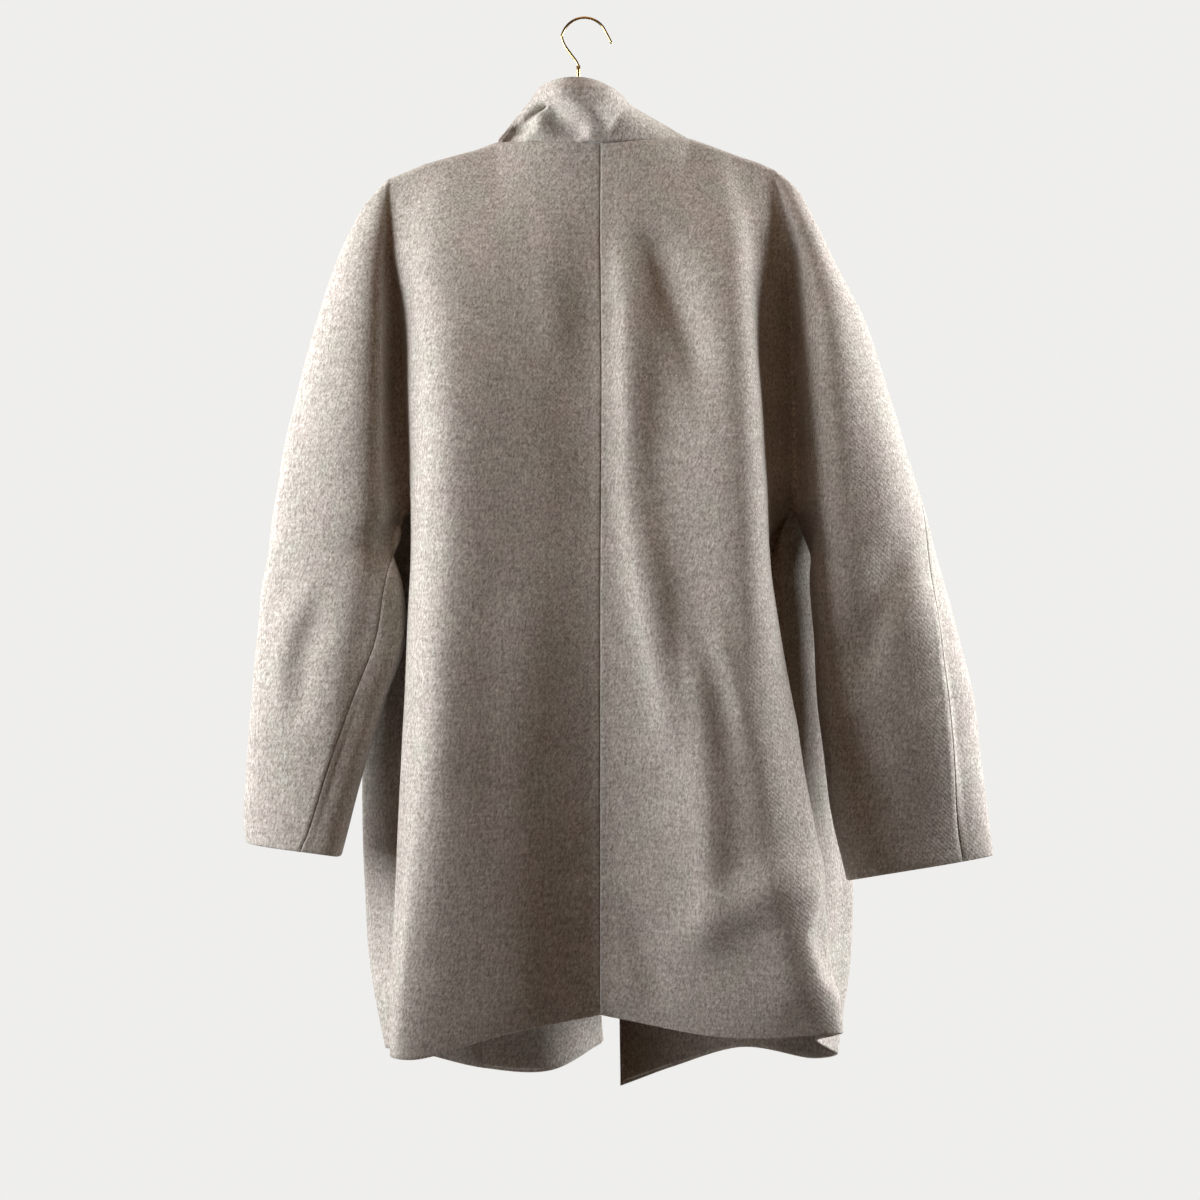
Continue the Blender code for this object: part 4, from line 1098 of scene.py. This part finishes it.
class Shading:
    """Short ways to build a tree of shader nodes."""

    def __init__(self, tree):
        self.tree = tree

    def feed(self, node, inputs):
        """Sets each input to its value, or links it to its socket."""
        for name, value in inputs.items():
            if isinstance(value, bpy.types.NodeSocket):
                self.tree.links.new(value, node.inputs[name])
            else:
                node.inputs[name].default_value = value

    def add(self, kind, inputs, output, **settings):
        """Adds a node, with its settings and inputs, and gives back one of its outputs."""
        made = self.tree.nodes.new("ShaderNode" + kind)
        for name, value in settings.items():
            setattr(made, name, value)
        self.feed(made, inputs)
        return made.outputs[output]

    def place(self):
        """The place on the object, in its own axes."""
        return self.add("TexCoord", {}, "Object")

    def noise(self, vector, scale, detail=2.0, roughness=0.5):
        """An uneven value between 0 and 1."""
        inputs = {"Scale": scale, "Detail": detail, "Roughness": roughness, "Vector": vector}
        return self.add("TexNoise", inputs, "Fac")

    def span(self, value, given=(0.0, 1.0), made=(0.0, 1.0)):
        """The value, carried from one range to another."""
        inputs = {"From Min": given[0], "From Max": given[1], "To Min": made[0], "To Max": made[1], "Value": value}
        return self.add("MapRange", inputs, "Result")

    def math(self, operation, *values):
        """The result of an operation on numbers."""
        return self.add("Math", dict(enumerate(values)), "Value", operation=operation)

    def vector(self, operation, inputs):
        """The result of an operation on vectors."""
        return self.add("VectorMath", inputs, "Vector", operation=operation)

    def blend(self, factor, one, two, way="MIX"):
        """A mixture of two colours."""
        inputs = {"Factor": factor, "A": rgba(one), "B": rgba(two)}
        return self.add("Mix", inputs, "Result", data_type="RGBA", blend_type=way)


def new_group(name, inputs, output, output_kind):
    """A shader node group with named inputs, each a colour or a number, and one output."""
    group = bpy.data.node_groups.new(name, "ShaderNodeTree")
    for key, value in inputs.items():
        kind = "NodeSocketColor" if isinstance(value, tuple) else "NodeSocketFloat"
        made = group.interface.new_socket(name=key, in_out="INPUT", socket_type=kind)
        made.default_value = rgba(value)
    group.interface.new_socket(name=output, in_out="OUTPUT", socket_type=output_kind)
    return group, Shading(group), group.nodes.new("NodeGroupInput").outputs, group.nodes.new("NodeGroupOutput")


def new_material(name):
    """A material, ways to build its nodes, and its surface shader."""
    material = bpy.data.materials.new(name)
    material.use_nodes = True
    return material, Shading(material.node_tree), material.node_tree.nodes["Principled BSDF"]


def melange_group():
    """Mixed fibres: flecks that lean a little, faint streaks along and across the weave, and slow drifts of tone."""
    inputs = {"Dark": FIBRE_DARK, "Middle": FIBRE_MIDDLE, "Pale": FIBRE_PALE, "Fleck scale": 1.0, "Streaks": 1.0}
    group, shade, given, result = new_group("melange", inputs, "Colour", "NodeSocketColor")
    place = shade.place()
    lean = {"Rotation": (0.0, FLECK_LEAN, 0.0), "Scale": (1.0, 1.0, FLECK_LENGTH), "Vector": place}
    leaning = shade.add("Mapping", lean, "Vector", vector_type="TEXTURE")
    sized = shade.vector("SCALE", {0: leaning, "Scale": given["Fleck scale"]})
    flecks = shade.math("MULTIPLY", shade.noise(sized, FLECK_SCALE, roughness=FLECK_ROUGHNESS), FLECK_SHARE)
    fine = shade.noise(sized, FINE_FIBRE_SCALE, roughness=FLECK_ROUGHNESS)
    mixed = shade.math("ADD", flecks, shade.math("MULTIPLY", fine, FINE_FIBRE_SHARE))
    colour = shade.blend(shade.span(mixed, DARK_TO_MIDDLE), given["Dark"], given["Middle"])
    colour = shade.blend(shade.span(mixed, MIDDLE_TO_PALE), colour, given["Pale"])
    drawn = [shade.vector("MULTIPLY", {0: place, 1: scale}) for scale in (STREAK_ACROSS, STREAK_ALONG)]
    both = shade.math("ADD", *[shade.noise(vector, 1.0, 1.0) for vector in drawn])
    streak = shade.math("MULTIPLY", shade.math("SUBTRACT", both, 1.0), given["Streaks"])
    tone = shade.math("ADD", streak, shade.span(shade.noise(place, TONE_SCALE), TONE_NOISE, TONE_RANGE))
    drift = shade.span(shade.noise(place, DRIFT_SCALE, 1.0), DRIFT_NOISE)
    colour = shade.blend(1.0, colour, shade.blend(drift, DRIFT_ROSE, DRIFT_GREEN), "MULTIPLY")
    shade.feed(result, {"Colour": shade.vector("SCALE", {0: colour, "Scale": tone})})
    return group


def nap_group():
    """The milled, softly brushed surface: fine fibres over a faint twill and small lumps, as a height."""
    group, shade, given, result = new_group(
        "nap", {"Fibre": 1.0, "Lumps": 1.0, "Twill": 1.0}, "Height", "NodeSocketFloat"
    )
    place = shade.place()
    fibre = shade.math("MULTIPLY", shade.noise(place, NAP_SCALE, NAP_DETAIL, NAP_ROUGHNESS), given["Fibre"])
    brushed = shade.math("MULTIPLY_ADD", shade.noise(place, LUMP_SCALE), given["Lumps"], fibre)
    turned = shade.add("Mapping", {"Rotation": (0.0, TWILL_TURN, 0.0), "Vector": place}, "Vector")
    ribs = {"Scale": TWILL_SCALE, "Distortion": TWILL_WAVER, "Detail": 2.0, "Detail Scale": 2.0, "Vector": turned}
    rib = shade.math("MULTIPLY", shade.add("TexWave", ribs, "Fac", bands_direction="X"), given["Twill"])
    shade.feed(result, {"Height": shade.math("ADD", brushed, rib)})
    return group


def wool_material(name, melange, nap):
    """Thick milled wool: the melange's colour, the nap's relief and a soft sheen."""
    wool = WOOLS[name]
    material, shade, surface = new_material(name)
    tones = {"Dark": rgba(FIBRE_DARK), "Middle": rgba(FIBRE_MIDDLE), "Pale": rgba(FIBRE_PALE)}
    colour = shade.add("Group", {}, "Colour", node_tree=melange)
    shade.feed(colour.node, tones | wool["melange"])
    height = shade.add("Group", {}, "Height", node_tree=nap)
    shade.feed(height.node, wool["nap"])
    normal = shade.add("Bump", WOOL_BUMP | {"Height": height}, "Normal")
    shade.feed(surface, WOOL_SURFACE | {"Sheen Weight": wool["sheen"], "Normal": normal, "Base Color": colour})
    return material


def brass_material():
    """Brass wire, a little dull and rough where it is handled."""
    material, shade, surface = new_material("polished_brass")
    wear = shade.noise(shade.place(), BRASS_WEAR_SCALE, BRASS_WEAR_DETAIL)
    colour = shade.blend(wear, BRASS_COLOUR, BRASS_DULL)
    rough = shade.span(wear, made=BRASS_ROUGHNESS)
    shade.feed(surface, {"Base Color": colour, "Roughness": rough, "Metallic": 1.0})
    return material


def bar_material():
    """The bar's plain matt finish, with a fine grain."""
    material, shade, surface = new_material("matt_bar")
    grain = shade.noise(shade.place(), BAR_GRAIN_SCALE)
    colour = shade.blend(grain, BAR_COLOUR, tuple(c * BAR_SHADE for c in BAR_COLOUR))
    normal = shade.add("Bump", BAR_BUMP | {"Height": grain}, "Normal")
    shade.feed(surface, {"Base Color": colour, "Normal": normal, "Roughness": BAR_ROUGHNESS})
    return material


# The coat


def plain_rows(grid):
    """The rows across a plain piece and the lines down its ends and middle."""
    return [[row] for row in grid], [[row[k] for row in grid] for k in (0, len(grid[0]) // 2, -1)]


def declare(piece, node):
    """Attaches the cloth to the root body and hides the solid that it stands for."""
    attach(piece, "root")
    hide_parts(node)


def make_coat(outer_wool, inner_wool):
    """All the cloth: the panels and the collar on one net, then the facings inside the fronts."""
    surface = Surface()
    grids = {side: add_half(surface, side) for side in SIDES}
    collar_grid_ids = add_collar(surface, grids)
    surface.points = np.array(surface.points, float)
    surface.looseness = np.ones(len(surface.points))
    for side in SIDES:
        for r, row in enumerate(grids[side]["upper"][:RIDGE_ROWS[1]]):
            surface.looseness[row] = np.clip((r - RIDGE_ROWS[0]) / (RIDGE_ROWS[1] - RIDGE_ROWS[0]), 0, 1)
    collar_ids = np.unique(np.concatenate(surface.panels["collar"]))
    surface.looseness[collar_ids] = COLLAR_LOOSENESS
    surface.smooth(SMOOTHING_PASSES)
    press_in(surface)
    surface.find_normals()
    for side in SIDES:
        surface.normals[grids[side]["underarm"]] = (0.0, 0.0, -UNDERARM_MITRE)
    points, normals = surface.points, surface.normals
    centre = {row[0] for part in ("upper", "body") for row in grids["left"][part]}
    surface.panels.pop("collar")
    fine, net = fine_collar(surface, collar_grid_ids)
    collar, rows = fine.panels["collar"], plain_rows(net)
    piece = cloth_wall("collar_outside", collar, fine.points, fine.normals, 0.0, CLOTH, outer_wool)
    declare(piece, "collar_outer")
    near = CLOTH + SEAM_GAP
    far = near + COLLAR_INSIDE_CLOTH
    piece = cloth_wall("collar_inside", collar, fine.points, fine.normals, near, far, inner_wool)
    declare(piece, "collar_inner")
    for panel, faces in surface.panels.items():
        piece = cloth_wall(f"{panel}_cloth", faces, points, normals, 0.0, CLOTH, outer_wool, centre)
        face, side = panel.split("_")
        declare(piece, panel)
    for side in SIDES:
        make_facing(surface, grids[side], side, inner_wool)


def make_facing(surface, grids, side, wool):
    """The strip inside a front's edge, which ends a little above the hem."""
    strip = FRONT_SPANS[-1] + FRONT_SPANS[-2] + 1
    lower = Surface()
    lower.points = surface.points.copy()
    normals = surface.normals.copy()
    upper_rows = [row[-strip:] for row in grids["upper"][FACING_TOP_ROW:]]
    body_rows = [row[-strip:] for row in grids["body"]]
    lower.quads("facing", upper_rows, side == "left")
    lower.quads("facing", body_rows, side == "left")
    for hem, above in zip(body_rows[-1], body_rows[-2]):
        share = min(FACING_HEM_STEP / np.linalg.norm(surface.points[hem] - surface.points[above]), FACING_HEM_SHARE)
        lower.points[hem] = lerp(surface.points[hem], surface.points[above], share)
        normals[hem] = lerp(normals[hem], normals[above], share)
    near = CLOTH + FACING_GAP
    faces = lower.panels["facing"]
    piece = cloth_wall(f"facing_{side}_cloth", faces, lower.points, normals, near, near + FACING_CLOTH, wool)
    declare(piece, f"facing_{side}")


# The hanger


def make_wire(name, path, radii, sides, material):
    """A round wire along a path in the plane of the hanger, with domed ends."""
    path = np.asarray(path, float)
    tangents = np.gradient(path, axis=0)
    tangents /= np.linalg.norm(tangents, axis=1)[:, None]
    start = path[0] - tangents[0] * radii[0] * WIRE_START_DOME
    end = path[-1] + tangents[-1] * radii[-1] * WIRE_END_DOME
    path = np.vstack([start, path, end])
    tangents = np.vstack([tangents[0], tangents, tangents[-1]])
    radii = [radii[0] * WIRE_END_WIDTH] + list(radii) + [radii[-1] * WIRE_END_WIDTH]
    across = np.array((0.0, 1.0, 0.0))
    turns = [2 * math.pi * k / sides for k in range(sides)]
    rings = []
    for centre, tangent, radius in zip(path, tangents, radii):
        up = np.cross(tangent, across)
        rings.append([centre + radius * (math.cos(t) * up + math.sin(t) * across) for t in turns])
    return ring_piece(name, rings, material)


def arm_top(x):
    """The height of the bar's top at a place across."""
    return float(np.interp(x, *zip(*ARM_LINE)))


def make_hook(material):
    """The wire hook, in one with the socket that joins it to the bar."""
    socket_z = np.linspace(arm_top(STEM_X) + SEAM_GAP + HOOK_SOCKET_LIFT, HOOK_SOCKET_TOP, HOOK_STEPS)
    angles = np.radians(np.linspace(HOOK_LEFT_ANGLE, HOOK_RIGHT_ANGLE, HOOK_STEPS))
    arc = [(HOOK_CENTRE[0] + HOOK_RADIUS * np.cos(a), HOOK_CENTRE[1] + HOOK_RADIUS * np.sin(a)) for a in angles]
    stations = [(STEM_X, HOOK_SOCKET_TOP)] + list(reversed(HOOK_SWAN_NECK)) + arc + [HOOK_TIP]
    wire = curve_through(stations, (HOOK_SPAN_STEPS,) * (len(stations) - 1))[1:]
    path = [(STEM_X, 0.0, z) for z in socket_z]
    path += [(STEM_X, 0.0, HOOK_SOCKET_TOP + step) for step, _ in HOOK_SHOULDER]
    path += [(x, 0.0, z) for x, z in wire]
    radii = [HOOK_SOCKET_RADIUS] * len(socket_z) + [radius for _, radius in HOOK_SHOULDER]
    radii += [HOOK_WIRE_RADIUS] * len(wire)
    piece = make_wire("brass_hook", path, radii, HOOK_SIDES, material)
    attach(piece, "root")
    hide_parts("hanger_hook")


def make_bar(material):
    """The bar: an oval section along the shoulder seams, rounded at its tips."""
    marks = [x for x, _ in ARM_LINE]
    xs = np.unique(np.concatenate([marks, np.linspace(marks[0], marks[-1], ARM_STATIONS)]))
    tops = np.array([arm_top(x) for x in xs])
    for _ in range(ARM_PASSES):
        tops[1:-1] = (tops[:-2] + 2 * tops[1:-1] + tops[2:]) / 4
    turns = [2 * math.pi * (k + 0.5) / ARM_SIDES for k in range(ARM_SIDES)]
    rings = []
    for x, top in zip(xs, tops):
        into = min(min(x - marks[0], marks[-1] - x) / ARM_END_LENGTH, 1.0)
        size = math.sqrt(1 - (1 - into) ** 2) * (1 - ARM_END_SHARE) + ARM_END_SHARE
        half, middle = ARM_HEIGHT / 2, top - ARM_HEIGHT / 2
        rings.append([(x, ARM_HALF_WIDTH * size * math.sin(t), middle + half * size * math.cos(t)) for t in turns])
    piece = ring_piece("matt_hanger_bar", rings, material)
    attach(piece, "root")
    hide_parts("hanger_bar")


# The studio


def soft_light(name, turn, rise, distance, power, colour):
    """A large soft light that faces the coat: 0 is from behind the camera, 90 from the right."""
    lamp = bpy.data.lights.new(name, "AREA")
    lamp.shape = "SQUARE"
    lamp.size = LIGHT_SIDE
    lamp.energy = power
    lamp.color = colour
    turn, rise = math.radians(turn), math.radians(rise)
    way = Vector((math.sin(turn) * math.cos(rise), -math.cos(turn) * math.cos(rise), math.sin(rise)))
    light = bpy.data.objects.new(name, lamp)
    light.location = Vector(LIT_POINT) + distance * way
    light.rotation_euler = (-way).to_track_quat("-Z", "Y").to_euler()
    bpy.context.scene.collection.objects.link(light)


def make_background():
    """A pale background to look at, which lights the coat only with a weak warm fill."""
    world = bpy.data.worlds.new("studio")
    bpy.context.scene.world = world
    world.use_nodes = True
    world.node_tree.nodes.clear()
    shade = Shading(world.node_tree)
    seen = shade.add("Background", SEEN_BACKGROUND, "Background")
    fill = shade.add("Background", FILL_BACKGROUND, "Background")
    looked_at = shade.add("LightPath", {}, "Is Camera Ray")
    either = shade.add("MixShader", {"Fac": looked_at, 1: fill, 2: seen}, "Shader")
    shade.feed(world.node_tree.nodes.new("ShaderNodeOutputWorld"), {"Surface": either})


def make_floor():
    """A round pale floor well below the hem."""
    turns = [2 * math.pi * k / FLOOR_SIDES for k in range(FLOOR_SIDES)]
    points = [(FLOOR_RADIUS * math.cos(t), FLOOR_RADIUS * math.sin(t), FLOOR_LEVEL) for t in turns]
    material, shade, surface = new_material("pale_floor")
    shade.feed(surface, {"Base Color": rgba(FLOOR_COLOUR), "Roughness": FLOOR_ROUGHNESS})
    floor = mesh_piece("pale_floor", points, [list(range(FLOOR_SIDES))], material)


def make_studio():
    """The background, lights, floor and camera."""
    bpy.context.scene.view_settings.view_transform = "Standard"
    make_background()
    for light in LIGHTS:
        soft_light(**dict(zip(LIGHT_COLUMNS, light)))
    make_floor()
    lens = bpy.data.cameras.new("camera")
    lens.lens = CAMERA_LENS
    lens.sensor_width = CAMERA_SENSOR
    camera = bpy.data.objects.new("camera", lens)
    camera.location = CAMERA_PLACE
    camera.rotation_euler = (math.pi / 2, 0.0, 0.0)
    bpy.context.scene.collection.objects.link(camera)
    bpy.context.scene.camera = camera


def main():
    melange, nap = melange_group(), nap_group()
    make_coat(wool_material("melton_face", melange, nap), wool_material("melton_inside", melange, nap))
    make_hook(brass_material())
    make_bar(bar_material())
    make_studio()


main()
